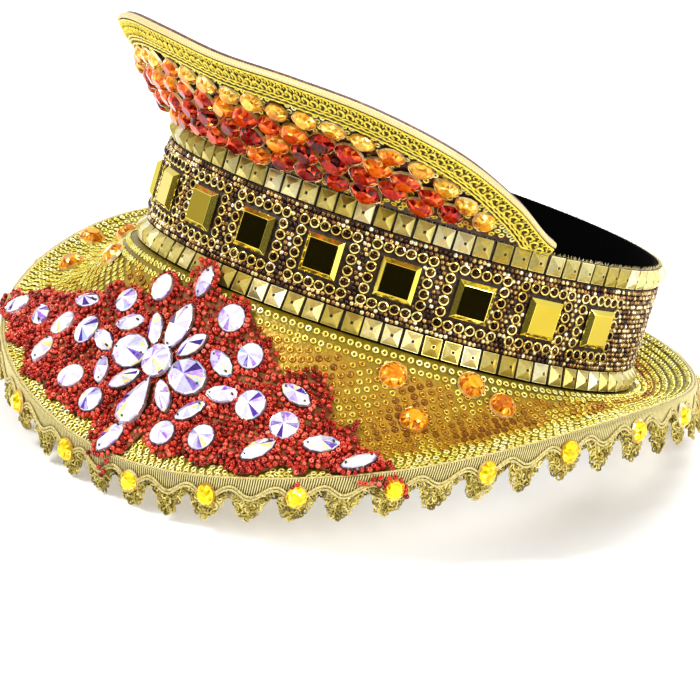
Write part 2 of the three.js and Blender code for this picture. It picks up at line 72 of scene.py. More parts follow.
def mirroredCurve(values):  # through a table and its mirror image; side runs from -1 to 1
    row = values[:0:-1] + values

    def at(side):
        spot = (len(row) - 1) * min(max((side + 1) / 2, 0), 1)
        i = min(int(spot), len(row) - 2)
        t = spot - i
        a, b, c, d = row[max(i - 1, 0)], row[i], row[i + 1], row[min(i + 2, len(row) - 1)]
        first, second = (c - a) / 2, (d - b) / 2
        cubed, squared = 2 * b - 2 * c + first + second, 3 * c - 3 * b - 2 * first - second
        return cubed * t**3 + squared * t**2 + first * t + b

    return at


def steppedCurve(stops):  # straight lines between (place, value) pairs
    places, values = zip(*stops)
    return lambda place: float(np.interp(place, places, values))


def ring(angle, radius, height):  # angle in degrees from the front, positive to the wearer's left
    a = math.radians(angle)
    return Vector((radius * math.sin(a), -radius * math.cos(a), height))


brim = {
    "fold": 99, "root": 94.4, "rootHeight": -7.9, "thickness": 2.2,
    "edgeRadius": [127.3, 134.7, 132.5, 125.4, 119.3, 120.1, 121.8],  # every 30 degrees, front to back
    "edgeHeight": [-74.3, -60.7, -32.3, -6.7, 0.9, 3.3, 5.1],
    "sag": [8.3, 8.3, 6, 3, 1.5, 1, 1],
}
edgeRadius = evenCurve(brim["edgeRadius"])
edgeHeight = evenCurve(brim["edgeHeight"])
brimSag = evenCurve(brim["sag"])


def brimPoint(angle, share):  # upper side: share 0 is the fold below the studs, 1 the edge, -1 the root
    if share < 0:
        return ring(angle, lerp(brim["fold"], brim["root"], -share), brim["rootHeight"])
    sag = 4 * brimSag(angle) * share * (1 - share)
    height = lerp(brim["rootHeight"], edgeHeight(angle), share) - sag
    return ring(angle, lerp(brim["fold"], edgeRadius(angle), share), height)


def brimWidth(angle):
    return math.hypot(edgeRadius(angle) - brim["fold"], edgeHeight(angle) - brim["rootHeight"])


# How steeply the trim falls, in degrees below level: 115 in front, 77.5 at the sides and 60 at the back.
trimFall = {"mean": 82.5, "frontBack": 27.5, "sides": 5, "outside": 0.7}


def lacePoint(angle, distance):  # outer side of the trim that hangs from the brim's edge
    turn = math.radians(angle)
    fall = math.radians(
        trimFall["mean"] + trimFall["frontBack"] * math.cos(turn) + trimFall["sides"] * math.cos(2 * turn))
    radius = edgeRadius(angle) + trimFall["outside"] + distance * math.cos(fall)
    return ring(angle, radius, edgeHeight(angle) - distance * math.sin(fall))


crown = {
    "halfSpan": 71.6, "baseRadius": 95, "baseHeight": 40, "thickness": 2.4,
    "rimRadius": [131.3, 132, 131, 126.4, 110.5, 98],  # from the front to the end of the panel
    "rimHeight": [74.6, 75.6, 74.6, 68.6, 56.8, 44.2],
}
rimRadius = mirroredCurve(crown["rimRadius"])
rimHeight = mirroredCurve(crown["rimHeight"])


def crownSlope(side):
    return math.hypot(rimRadius(side) - crown["baseRadius"], rimHeight(side) - crown["baseHeight"])


def crownPoint(side, distance):  # outer side of the panel, a distance up its slope
    share = distance / crownSlope(side)
    radius = lerp(crown["baseRadius"], rimRadius(side), share)
    return ring(side * crown["halfSpan"], radius, lerp(crown["baseHeight"], rimHeight(side), share))


# On each of these surfaces U across V points outwards.
def onBand(radius):
    return lambda angle, height: ring(angle, radius, height)


def onBrim(back, share):
    return brimPoint(-back, share)


def onLace(back, distance):
    return lacePoint(-back, distance)


edgeMarks = range(721)  # every half degree round the brim's edge
edgeSteps = [lacePoint(mark / 2, 0) for mark in edgeMarks]
edgeReach = [0] + list(np.cumsum([(b - a).length for a, b in zip(edgeSteps, edgeSteps[1:])]))
edgeLength = edgeReach[-1]


def edgeAngle(distance):  # angle at a distance along the brim's edge from the front
    turns, rest = divmod(distance, edgeLength)
    return 360 * turns + float(np.interp(rest, edgeReach, edgeMarks)) / 2


def normalOf(surface, u, v, step=0.01):
    alongU = surface(u + step, v) - surface(u - step, v)
    alongV = surface(u, v + step) - surface(u, v - step)
    return alongU.cross(alongV).normalized()


def seat(surface, u, v, lift=0, turn=0, lean=(0, 0)):  # X runs up the V direction, Z points out
    up = normalOf(surface, u, v)
    along = (surface(u, v + 0.01) - surface(u, v - 0.01)).normalized()
    spin = Matrix.Rotation(math.radians(turn), 4, "Z")
    tip = Matrix.Rotation(math.radians(lean[0]), 4, "X") @ Matrix.Rotation(math.radians(lean[1]), 4, "Y")
    across = up.cross(along)
    axes = Matrix((along, across, up)).transposed().to_4x4()
    return Matrix.Translation(surface(u, v) + up * lift) @ axes @ spin @ tip


def plusMinus(most):
    return chance.uniform(-most, most)


def wobble(degrees):
    return (plusMinus(degrees), plusMinus(degrees))


# Camera and light.

cameraPlace = {
    "azimuth": 39.652, "elevation": 8.023, "roll": 17.248,  # degrees, about the head band
    "across": 15.174, "up": 22.903, "distance": 1938.6,  # millimetres
    "lens": 264.25, "sensor": 36,
}


def makeCamera():
    a, e, r = (math.radians(cameraPlace[k]) for k in ("azimuth", "elevation", "roll"))
    back = Vector((math.sin(a) * math.cos(e), -math.cos(a) * math.cos(e), math.sin(e)))
    right = Vector((math.cos(a), math.sin(a), 0))
    up = back.cross(right)
    right, up = right * math.cos(r) + up * math.sin(r), up * math.cos(r) - right * math.sin(r)
    place = back * cameraPlace["distance"] - right * cameraPlace["across"] - up * cameraPlace["up"]
    axes = Matrix((right, up, back)).transposed().to_4x4()
    data = bpy.data.cameras.new("camera")
    data.lens = cameraPlace["lens"]
    data.sensor_width = cameraPlace["sensor"]
    data.sensor_fit = "HORIZONTAL"
    data.clip_start, data.clip_end = 0.1, 50
    camera = bpy.data.objects.new("camera", data)
    bpy.context.scene.collection.objects.link(camera)
    turn = Matrix.Rotation(math.radians(stance["tilt"]), 4, "X")
    camera.matrix_world = Matrix.Translation(toTable @ place) @ turn @ axes
    bpy.context.scene.camera = camera


makeCamera()


def pointAt(target, place):
    return (Vector(target) - Vector(place)).to_track_quat("-Z", "Y").to_matrix().to_4x4()


softLights = [
    {"name": "keyLight", "place": (-0.7, -1.1, 1.5), "size": 0.6, "power": 20},
    {"name": "sideLight", "place": (1.5, -0.2, 0.8), "size": 0.6, "power": 14},
    {"name": "backLight", "place": (-0.5, 1.4, 1.2), "size": 0.9, "power": 16},
]
lightTarget = (0, 0, 0.06)
worldLight = {"room": 0.7, "backdrop": 1.0}  # what lights the cap, and what the camera sees


def makeLights():
    for spec in softLights:
        data = bpy.data.lights.new(spec["name"], "AREA")
        data.shape = "DISK"
        data.size = spec["size"]
        data.energy = spec["power"]
        lamp = bpy.data.objects.new(spec["name"], data)
        bpy.context.scene.collection.objects.link(lamp)
        lamp.matrix_world = Matrix.Translation(spec["place"]) @ pointAt(lightTarget, spec["place"])
    world = bpy.data.worlds.new("studio")
    bpy.context.scene.world = world
    world.use_nodes = True
    tree = world.node_tree
    room = tree.nodes["Background"]
    backdrop = tree.nodes.new("ShaderNodeBackground")
    for part, strength in ((room, worldLight["room"]), (backdrop, worldLight["backdrop"])):
        part.inputs["Color"].default_value = (1, 1, 1, 1)
        part.inputs["Strength"].default_value = strength
    rays = tree.nodes.new("ShaderNodeLightPath")
    blend = tree.nodes.new("ShaderNodeMixShader")
    tree.links.new(rays.outputs["Is Camera Ray"], blend.inputs["Fac"])
    tree.links.new(room.outputs["Background"], blend.inputs[1])
    tree.links.new(backdrop.outputs["Background"], blend.inputs[2])
    tree.links.new(blend.outputs["Shader"], tree.nodes["World Output"].inputs["Surface"])


makeLights()
bpy.context.scene.view_settings.view_transform = "Standard"
bpy.context.scene.view_settings.look = "Medium High Contrast"


# Finishes.

def hexColour(code):
    parts = [int(code[i:i + 2], 16) / 255 for i in (0, 2, 4)]
    return tuple(((p + 0.055) / 1.055) ** 2.4 if p > 0.04045 else p / 12.92 for p in parts) + (1,)


finishes = {}


def newFinish(name, sockets):
    made = bpy.data.materials.new(name)
    made.use_nodes = True
    shader = made.node_tree.nodes["Principled BSDF"]
    for socket, value in sockets.items():
        shader.inputs[socket].default_value = value
    finishes[name] = made
    return made


def addNode(tree, kind, values=None, links=None, **settings):
    made = tree.nodes.new("ShaderNode" + kind)
    for key, value in settings.items():
        setattr(made, key, value)
    for socket, value in (values or {}).items():
        made.inputs[socket].default_value = value
    for socket, source in (links or {}).items():
        tree.links.new(source, made.inputs[socket])
    return made


def attribute(tree, name):
    return addNode(tree, "Attribute", attribute_name=name).outputs["Fac"]


def speckle(tree, scale, detail=3):
    where = addNode(tree, "TexCoord").outputs["Object"]
    return addNode(tree, "TexNoise", {"Scale": scale, "Detail": detail}, {"Vector": where}).outputs["Fac"]


def cells(tree, scale, output="Distance"):
    where = addNode(tree, "TexCoord").outputs["Object"]
    return addNode(tree, "TexVoronoi", {"Scale": scale}, {"Vector": where}).outputs[output]


def mixed(tree, first, second, share):  # share of the second in the sum
    low = addNode(tree, "Math", {1: 1 - share}, {0: first}, operation="MULTIPLY").outputs[0]
    return addNode(tree, "Math", {1: share}, {0: second, 2: low}, operation="MULTIPLY_ADD").outputs[0]


def ramp(tree, factor, codes):
    made = addNode(tree, "ValToRGB", links={"Fac": factor})
    stops = made.color_ramp.elements
    while len(stops) < len(codes):
        stops.new(0.5)
    for i, (place, code) in enumerate(codes):
        stops[i].position = place
        stops[i].color = hexColour(code)
    return made.outputs["Color"]


def paint(finish, colour=None, height=None, strength=0.4, distance=0.0003):
    tree = finish.node_tree
    shader = tree.nodes["Principled BSDF"]
    if colour is not None:
        tree.links.new(colour, shader.inputs["Base Color"])
    if height is not None:
        bump = addNode(tree, "Bump", {"Strength": strength, "Distance": distance}, {"Height": height})
        tree.links.new(bump.outputs["Normal"], shader.inputs["Normal"])
    return finish


def metalFinish(name, codes, metallic, roughness, scale, tonedShare=0.6, bumpStrength=0.2):
    finish = newFinish(name, {"Metallic": metallic, "Roughness": roughness})
    tree = finish.node_tree
    grain = speckle(tree, scale)
    factor = mixed(tree, grain, attribute(tree, "tone"), tonedShare)
    return paint(finish, ramp(tree, factor, codes), grain, bumpStrength, 0.0002)


def threadFinish(name, codes, scale, metallic=0.3, roughness=0.55, strength=0.7, sheen=0.15):
    finish = newFinish(name, {"Metallic": metallic, "Roughness": roughness, "Sheen Weight": sheen})
    tree = finish.node_tree
    grain = speckle(tree, scale, 5)
    return paint(finish, ramp(tree, grain, codes), grain, strength, 0.0004)


# Glass is drawn as glossy metal with its light painted in: a random shade on each facet is a painted reflection
# from inside the stone, fine cells add painted glints, and a glow paints each stone lighter towards one side.
def glassFinish(name, codes, metallic=0.45, roughness=0.08, paintedGlowShare=0.0, paintedGlintShare=0.25):
    finish = newFinish(name, {
        "Metallic": metallic, "Roughness": roughness, "Coat Weight": 0.3, "Coat Roughness": 0.03,
    })
    tree = finish.node_tree
    paintedGlint = cells(tree, 900, "Color")
    paintedGlint = addNode(tree, "SeparateColor", links={"Color": paintedGlint}).outputs[0]
    factor = mixed(tree, attribute(tree, "paintedFacetReflection"), paintedGlint, paintedGlintShare)
    if paintedGlowShare:
        factor = mixed(tree, factor, attribute(tree, "paintedGlow"), paintedGlowShare)
    return paint(finish, ramp(tree, factor, codes))


def floorFinish():
    finish = newFinish("floorPale", {"Roughness": 0.8})
    tree = finish.node_tree
    return paint(finish, ramp(tree, speckle(tree, 3), [(0.3, "f6f6f6"), (0.7, "fafafa")]))


def brimClothFinish():
    finish = newFinish("brimCloth", {"Metallic": 0.35, "Roughness": 0.4})
    tree = finish.node_tree
    factor = mixed(tree, speckle(tree, 900), attribute(tree, "tone"), 0.7)
    colour = ramp(tree, factor, [(0.15, "bc8a30"), (0.4, "b48a2e"), (0.6, "90781e"), (0.8, "726610")])
    return paint(finish, colour, cells(tree, 700), 0.6, 0.0004)


# The pairs are places on a colour ramp and their colours. After them come, for metal: metallic, roughness,
# scale of the grain, share of the tone, bump; for thread: scale, metallic, roughness, bump, sheen; for
# glass: metallic, roughness.
threadFinish("blackCloth", [(0.3, "010102"), (0.7, "050506")], 1800, 0, 0.9, 0.7, 0)
newFinish("blackCard", {"Base Color": hexColour("08080a"), "Roughness": 0.9})
threadFinish("netCloth", [(0.3, "1d1216"), (0.7, "4e3a28")], 900, 0.2, 0.6)
metalFinish("bronzeBeads", [
    (0.1, "3e2c28"), (0.32, "846444"), (0.5, "b89456"), (0.7, "e2ca8c"), (1, "fcf8e8"),
], 0.7, 0.22, 2500, 0.85)
metalFinish("domeGold", [(0.2, "c9a850"), (0.6, "f0dc8c"), (1, "fcf4c4")], 0.8, 0.15, 600)
# Dark middles of the domes: a painted dark reflection.
metalFinish("domePaintedReflection", [(0.2, "20140c"), (0.7, "4c361a"), (1, "8a6a2c")], 0.9, 0.12, 600)
metalFinish("studGold", [(0.25, "c4b25e"), (0.5, "e2d48c"), (0.8, "fbf4c8")], 0.8, 0.32, 900)
# Dark in the holes of the stud tips and the crystals' thread holes: painted shade.
newFinish("holePaintedShade", {"Base Color": hexColour("4a3c16"), "Roughness": 0.6})
metalFinish("mirrorGold", [(0.3, "f0cf3a"), (0.7, "fdf07c")], 0.9, 0.1, 40, 0.1, 0.02)
metalFinish("mirrorTable", [(0.3, "b7a03c"), (0.7, "cdb848")], 1, 0.02, 30, 0.1, 0.01)
threadFinish("crownCloth", [(0.3, "2a0e0a"), (0.55, "5c2a12"), (0.8, "946a22")], 500, 0.2, 0.5)
threadFinish("lameGold", [(0.3, "8f7526"), (0.7, "cdb24a")], 1500, 0.5, 0.4, 0.4)
metalFinish("satinCream", [(0.1, "86703c"), (0.45, "ccb97e"), (0.9, "f4eac0")], 0.1, 0.4, 1200, 0.75, 0.3)
threadFinish("braidGround", [(0.3, "2e2606"), (0.7, "5e5014")], 1200, 0.3, 0.5)
threadFinish("braidGold", [(0.25, "c4a428"), (0.5, "ecd846"), (0.75, "faf29a")], 1600, 0.45, 0.35)
metalFinish("laceGold", [
    (0.2, "4a3c12"), (0.4, "8a7830"), (0.6, "c2b058"), (0.8, "e6d88c"), (1, "fbf4c4"),
], 0.3, 0.4, 1300, 0.6, 0.6)
metalFinish("gimpCream", [
    (0.15, "3a2f12"), (0.4, "8c7c40"), (0.65, "cdbf80"), (0.9, "ece2b0"),
], 0.2, 0.5, 1500, 0.75, 0.4)
threadFinish("cordCream", [(0.25, "84743a"), (0.5, "c6b674"), (0.75, "e8dca4")], 1500, 0.2, 0.5)
metalFinish("bezelGold", [(0.3, "d8ac54"), (0.7, "fcecc0")], 0.7, 0.3, 900)
metalFinish("settingSilver", [(0.3, "8e8c90"), (0.7, "e8e6e8")], 0.8, 0.2, 900)
metalFinish("sequinGold", [
    (0.05, "5a3206"), (0.3, "8e5a12"), (0.5, "cc9c2a"), (0.7, "eee268"), (1, "fffcc4"),
], 0.45, 0.22, 700, 0.9)
# The middle of a sequin: the cloth seen through its hole, partly the cloth's own colour and partly painted
# shade, darker than the cloth.
metalFinish("sequinHoleClothAndShade", [(0.1, "7c4410"), (0.5, "765414"), (0.9, "60520e")], 0.2, 0.5, 700, 0.9)
glassFinish("rowRed", [
    (0.15, "200000"), (0.4, "720602"), (0.62, "ac1803"), (0.82, "d63e0a"), (0.97, "ff904c"),
])
glassFinish("rowScarlet", [
    (0.15, "300200"), (0.4, "901402"), (0.6, "cc3404"), (0.8, "f26e10"), (0.97, "ffbc50"),
], paintedGlowShare=0.35)
glassFinish("rowOrange", [
    (0.13, "5c1802"), (0.35, "b84206"), (0.56, "e8700c"), (0.76, "faa824"), (0.96, "ffe08c"),
], paintedGlowShare=0.35)
glassFinish("rowAmber", [
    (0.12, "8a4608"), (0.35, "cc8424"), (0.55, "ecb43c"), (0.76, "f8d868"), (0.96, "fff8d0"),
], paintedGlowShare=0.3)
glassFinish("amberGlass", [
    (0.12, "984402"), (0.38, "d87c08"), (0.6, "f29e10"), (0.8, "fcc02c"), (0.97, "ffec9c"),
])
glassFinish("yellowGlass", [
    (0.1, "c08a04"), (0.35, "f0c408"), (0.6, "fce40c"), (0.8, "fff638"), (0.97, "fffdc0"),
])
# Crystal facets painted white, lilac, violet, yellow and blue: painted reflections of the coated glass.
glassFinish("crystal", [
    (0, "24165c"), (0.07, "5c30a4"), (0.13, "b8b0d4"), (0.2, "d8dae4"), (0.36, "f2f4f8"),
    (0.48, "c2bcd8"), (0.56, "e2e4ec"), (0.7, "f6f8fa"), (0.76, "9454cc"), (0.82, "e6e8ee"),
    (0.89, "eee8bc"), (0.93, "e4cc5c"), (0.96, "98b8f0"), (1, "d878ac"),
], 0.1, 0.04, paintedGlintShare=0.04)
metalFinish("seedRed", [
    (0.1, "500a06"), (0.4, "9c2014"), (0.62, "c63c28"), (0.82, "e06c54"), (1, "ffd0bc"),
], 0.1, 0.1, 1500, 0.8)
threadFinish("feltGold", [(0.3, "5a2410"), (0.7, "a06428")], 900, 0.2, 0.6)
floorFinish()
brimClothFinish()
finishes["blackCloth"].node_tree.nodes["Principled BSDF"].inputs["Specular IOR Level"].default_value = 0.05
print("finishes made")


# Making meshes.

def sealed(bm, openEnds):  # fills the ends, if any, and turns every face outwards
    if openEnds:
        bmesh.ops.holes_fill(bm, edges=[edge for edge in bm.edges if edge.is_boundary], sides=0)
    bmesh.ops.recalc_face_normals(bm, faces=bm.faces[:])
    return bm


# A profile of (radius, height) pairs turned about the axis, all the way or part of it.
def turned(profile, steps, closed=False, sweep=360):
    bm = bmesh.new()
    points = [bm.verts.new((radius, 0, height)) for radius, height in profile]
    pairs = list(zip(points, points[1:])) + ([(points[-1], points[0])] if closed else [])
    edges = [bm.edges.new(pair) for pair in pairs]
    bmesh.ops.spin(bm, geom=points + edges, cent=(0, 0, 0), axis=(0, 0, 1), dvec=(0, 0, 0),
                   angle=math.radians(sweep), steps=steps, use_merge=sweep == 360)
    bmesh.ops.remove_doubles(bm, verts=bm.verts[:], dist=1e-5)
    sealed(bm, sweep < 360)
    for face in bm.faces:
        face.smooth = True
    return bm


# A small loop of wire, or an open curl of it.
def wireLoop(radius, wire, around=8, sides=4, sweep=360):
    turns = [2 * math.pi * k / sides for k in range(sides)]
    section = [(radius + wire * math.cos(turn), wire * math.sin(turn)) for turn in turns]
    return turned(section, around, closed=True, sweep=sweep)


# A grid bent over a surface, joined where it meets itself; u and v run from 0 to 1.
def draped(uSteps, vSteps, surface, toneAt=None):
    bm = bmesh.new()
    bm.loops.layers.uv.new("UVMap")
    tone = bm.verts.layers.float.new("tone") if toneAt else None
    bmesh.ops.create_grid(bm, x_segments=uSteps, y_segments=vSteps, size=0.5, calc_uvs=True)
    for vert in bm.verts:
        u, v = vert.co.x + 0.5, vert.co.y + 0.5
        vert.co = surface(u, v)
        if toneAt:
            vert[tone] = toneAt(u, v)
    bmesh.ops.remove_doubles(bm, verts=bm.verts[:], dist=1e-3)
    for face in bm.faces:
        face.smooth = True
    return bm


# A sheet between two offsets from a surface: its rows run out along the top and back below.
def padSheet(uSteps, vSteps, surface, low, high, closed=False, toneAt=None):
    last = 2 * vSteps + 3

    def skin(u, v):
        row = round(v * last)
        top = high(u) if callable(high) else high
        share, offset = 0, (low + top) / 2
        if 0 < row <= vSteps + 1:
            share, offset = (row - 1) / vSteps, top
        elif vSteps + 1 < row < last:
            share, offset = (last - 1 - row) / vSteps, low
        return surface(u, share) + normalOf(surface, u, min(max(share, 0.002), 0.998), 0.001) * offset

    return sealed(draped(uSteps, last, skin, toneAt), not closed)


# A round cord along a path; path gives a point and the direction that faces out.
def cordMesh(steps, sides, path, radius, closed=True, toneAt=None):
    def skin(u, v):
        here, out = path(u)
        ahead, _ = path(u + 1e-4)
        along = (ahead - here).normalized()
        side = along.cross(out).normalized()
        turn = -2 * math.pi * v
        reach = radius(u, v) if callable(radius) else radius
        return here + (out * math.cos(turn) + side * math.sin(turn)) * reach

    return sealed(draped(steps, sides, skin, toneAt), not closed)


def highestFace(faces):
    return max(faces, key=lambda face: face.calc_center_median().z)


outlines = {
    "round": lambda t: (math.cos(t), math.sin(t)),
    "navette": lambda t: (math.cos(t), math.copysign(abs(math.sin(t)) ** 1.4, math.sin(t))),
    "drop": lambda t: (math.cos(t), 1.25 * math.sin(t) * ((1 - math.cos(t)) / 2) ** 0.7),
}
outlines["oval"] = outlines["round"]


# Of a cut stone: radii as shares of its own, heights as shares of its height.
stoneCut = {
    "foot": 0.95, "rimInset": 0.06, "rimRise": 0.1, "point": 0.9,
    "slope": 0.34, "shoulder": 0.88, "fold": 0.05, "table": 0.14, "tableRise": 0.12,
    "cupFoot": 1.08, "cupRim": 1.05, "lip": 0.07, "lipDip": 0.06,
}


# A cut stone in its metal cup, flat back at height 0; finish 0 is the stone and 1 the metal.
def cutStone(shape, length, width, height, sides=10, point=False, cup=0.35):
    bm = bmesh.new()
    outline, lower = outlines[shape], Matrix.Translation((0, 0, height * cup / 2))
    bmesh.ops.create_cone(bm, cap_ends=True, segments=sides, radius1=stoneCut["foot"], radius2=1,
                          depth=height * cup, matrix=lower)
    top = highestFace(bm.faces)
    if point:
        bmesh.ops.inset_individual(bm, faces=[top], thickness=stoneCut["rimInset"],
                                   depth=height * stoneCut["rimRise"])
        bmesh.ops.poke(bm, faces=[top], offset=height * (stoneCut["point"] - cup))
    else:
        slope = bmesh.ops.inset_individual(bm, faces=[top], thickness=stoneCut["slope"],
                                           depth=height * (stoneCut["shoulder"] - cup))
        bmesh.ops.poke(bm, faces=slope["faces"], offset=stoneCut["fold"])
        bmesh.ops.inset_individual(bm, faces=[top], thickness=stoneCut["table"],
                                   depth=height * stoneCut["tableRise"])
    collar = bmesh.ops.create_cone(bm, cap_ends=True, segments=sides, radius1=stoneCut["cupFoot"],
                                   radius2=stoneCut["cupRim"], depth=height * cup, matrix=lower)["verts"]
    lid = highestFace({face for vert in collar for face in vert.link_faces})
    bmesh.ops.inset_individual(bm, faces=[lid], thickness=stoneCut["lip"], depth=-height * stoneCut["lipDip"])
    inCup = set(collar) | set(lid.verts)
    for face in bm.faces:
        face.material_index = int(all(vert in inCup for vert in face.verts))
    for vert in bm.verts:
        turn = math.atan2(vert.co.y, vert.co.x)
        reach = math.hypot(vert.co.x, vert.co.y)
        x, y = outline(turn)
        vert.co.x, vert.co.y = x * reach * length / 2, y * reach * width / 2
    return bm


def toMesh(bm, name):
    mesh = bpy.data.meshes.new(name)
    bm.to_mesh(mesh)
    bm.free()
    return mesh


# Joins one copy of a template at each pose. Every copy keeps a tone of its own and every face a random shade
# that paints reflections on glass facets;
# a painted glow runs from 0 to 1 across each copy.
def joinCopies(name, template, poses, tones=None):
    cut = toMesh(template, name + "_one")
    joined = bmesh.new()
    for _ in poses:
        joined.from_mesh(cut)
    mesh = toMesh(joined, name)
    corners = np.array([vert.co for vert in cut.vertices])
    placed = []
    for pose in poses:
        whole = np.array(toTable @ pose)
        placed.append(corners @ whole[:3, :3].T + whole[:3, 3])
    mesh.vertices.foreach_set("co", np.concatenate(placed).ravel())
    if tones is None:
        tones = manyDraws.random(len(poses))
    setTone(mesh, np.repeat(np.array(tones, np.float32), len(corners)))
    # painted glow: lighter towards one side of each copy
    paintedGlow = mesh.attributes.new("paintedGlow", "FLOAT", "POINT")
    across = 0.5 + 0.5 * corners[:, 1] / max(abs(corners[:, 1]).max(), 1e-6)
    paintedGlow.data.foreach_set("value", np.tile(across, len(poses)).astype(np.float32))
    # a random shade on each face, painted reflections on glass facets
    paintedFacetReflection = mesh.attributes.new("paintedFacetReflection", "FLOAT", "FACE")
    paintedFacetReflection.data.foreach_set("value", manyDraws.random(len(mesh.polygons)).astype(np.float32))
    mesh.update()
    bpy.data.meshes.remove(cut)
    return mesh


def setTone(mesh, values):
    tone = mesh.attributes.get("tone") or mesh.attributes.new("tone", "FLOAT", "POINT")
    tone.data.foreach_set("value", np.array(values, np.float32))


# Makes a bmesh drawn in millimetres a mesh in its place on the table.
def placedMesh(bm, name, toneAt=None):
    bm.transform(toTable)
    tones = [toneAt(vert) for vert in bm.verts] if toneAt else None
    mesh = toMesh(bm, name)
    if tones or "tone" not in mesh.attributes:
        setTone(mesh, tones or [0.5] * len(mesh.vertices))
    return mesh


def addPiece(mesh, names, nodes=()):
    piece = bpy.data.objects.new(mesh.name, mesh)
    bpy.context.scene.collection.objects.link(piece)
    for name in names:
        mesh.materials.append(finishes[name])
    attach(piece, "root")
    if nodes:
        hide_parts(*nodes)
    print("made", piece.name, sum(len(part.vertices) - 2 for part in mesh.polygons), "triangles")


def merge(bms):
    whole = bmesh.new()
    for bm in bms:
        part = toMesh(bm, "part")
        whole.from_mesh(part)
        bpy.data.meshes.remove(part)
    return whole


# Lining and band edge.

lining = {
    "inner": 91.9, "outer": 94.1, "bottom": -10, "top": 39.7, "round": 0.5,
    "sweatTop": 20, "sweatInner": 91.3, "sweatOuter": 91.85, "sweatRound": 0.4,
}
trimInner = 94.4  # inner radius of what is wound round the band


def bandRing(profile):
    return turned(profile, 160, closed=True)


def makeLining():
    s = lining
    shoulder = s["top"] - s["round"]
    wall = bandRing([
        (s["outer"], s["bottom"]), (s["outer"], shoulder), (s["outer"] - s["round"], s["top"]),
        (s["inner"] + s["round"], s["top"]), (s["inner"], shoulder), (s["inner"], s["bottom"]),
    ])
    sweat = bandRing([
        (s["sweatOuter"], s["bottom"]), (s["sweatOuter"], s["sweatTop"]),
        (s["sweatInner"], s["sweatTop"] - s["sweatRound"]), (s["sweatInner"], s["bottom"]),
    ])
    mesh = placedMesh(merge([wall, sweat]), "lining")
    addPiece(mesh, ["blackCloth"], ["head_band"])


fray = {"count": 1100, "length": 1.3, "radius": 0.14, "aside": 0.2, "inside": 0.2, "below": 0.4,
        "lean": (25, 120), "spin": 35}


def makeBandEdge():
    s = fray
    strand = bmesh.new()
    bmesh.ops.create_cone(strand, cap_ends=True, segments=3, radius1=s["radius"], radius2=s["radius"] / 3,
                          depth=s["length"], matrix=Matrix.Translation((0, 0, s["length"] / 2)))
    rim = onBand(lining["outer"] - s["inside"])
    poses = []
    for k in range(s["count"]):
        angle = 360 * k / s["count"] + plusMinus(s["aside"])
        tip = Matrix.Rotation(math.radians(chance.uniform(*s["lean"])), 4, "Y")
        spin = Matrix.Rotation(math.radians(plusMinus(s["spin"])), 4, "Z")
        poses.append(seat(rim, angle, lining["top"] - s["below"]) @ spin @ tip)
    mesh = joinCopies("band_edge_fray", strand, poses)
    addPiece(mesh, ["satinCream"])


makeLining()
makeBandEdge()


# Bead net with its square loops and mirror stones.

net = {
    "bottom": 0.2, "top": 31.7, "radius": 95.2, "middle": 15.95,
    "beadPitch": 1.85, "beadRadius": 0.98, "margin": 1.05, "besideMirror": (8, 8.4), "toneCurve": 1.4,
}
loops = {"side": 21, "perSide": 6, "domeRadius": 2.08, "domeHeight": 1.7, "clear": 0.25}
mirrors = {
    "count": 12, "pitch": 28.8, "shift": -4.4, "radius": 96.1, "sink": 0.4,
    "side": 14.4, "base": 0.5, "height": 2.1, "inset": 2.2, "bevel": 0.14, "ridge": 4,
}


def mirrorAngle(k):
    along = (k - (mirrors["count"] - 1) / 2) * mirrors["pitch"] + mirrors["shift"]
    return math.degrees(along / mirrors["radius"])


def makeNet():
    s = net
    cloth = bandRing([(trimInner, s["bottom"]), (s["radius"], s["bottom"]),
                      (s["radius"], s["top"]), (trimInner, s["top"])])
    addPiece(placedMesh(cloth, "net_cloth"), ["netCloth"], ["bead_net"])

    # gold domes in a square round each mirror
    mirrorSpots = [mirrorAngle(k) for k in range(mirrors["count"])]
    wall = onBand(s["radius"])
    poses = []
    half, last = loops["side"] / 2, loops["perSide"] - 1
    step = loops["side"] / last
    for spot in mirrorSpots:
        for i in range(last + 1):
            for j in range(last + 1):
                if 0 < i < last and 0 < j < last:
                    continue
                across, rise = -half + i * step, -half + j * step
                angle = spot + math.degrees(across / s["radius"])
                poses.append(seat(wall, angle, s["middle"] + rise, 0.1, 0, wobble(7)))
    r, h = loops["domeRadius"], loops["domeHeight"]
    dome = turned([(0, 0), (r, 0), (r, h * 0.35), (r * 0.88, h * 0.6), (r * 0.68, h * 0.5),
                   (r * 0.4, h * 0.88), (0, h)], 14)
    # The middle of each dome takes the dark finish, a painted dark reflection.
    for face in dome.faces:
        middle = face.calc_center_median()
        face.material_index = int(middle.xy.length < r * 0.7 and middle.z > h * 0.2)
    addPiece(joinCopies("net_domes", dome, poses), ["domeGold", "domePaintedReflection"])

    # small beads on the rest of the net
    rows = int((s["top"] - s["bottom"]) / s["beadPitch"])
    columns = int(2 * math.pi * s["radius"] / s["beadPitch"])
    reach = half + loops["domeRadius"] + loops["clear"]
    nearest, farthest = s["besideMirror"]
    poses = []
    for c in range(columns):
        for r in range(rows):
            angle = 360 * (c + 0.5 * (r % 2)) / columns - 180
            height = s["bottom"] + s["margin"] + r * (s["top"] - s["bottom"] - 2 * s["margin"]) / (rows - 1)
            apart = min(abs(math.radians(angle - spot) * s["radius"]) for spot in mirrorSpots)
            if apart < reach and abs(height - s["middle"]) < reach:
                if not nearest < max(apart, abs(height - s["middle"])) < farthest:
                    continue
            poses.append(seat(wall, angle + plusMinus(0.12), height + plusMinus(0.15),
                              chance.uniform(0, 0.25), chance.uniform(0, 90), wobble(14)))
    r = s["beadRadius"]
    bead = turned([(0, 0), (r, 0), (r * 0.85, r * 0.65), (r * 0.3, r * 0.95), (0, r)], 7)
    tones = manyDraws.random(len(poses)) ** net["toneCurve"]
    addPiece(joinCopies("net_beads", bead, poses, tones), ["bronzeBeads"])


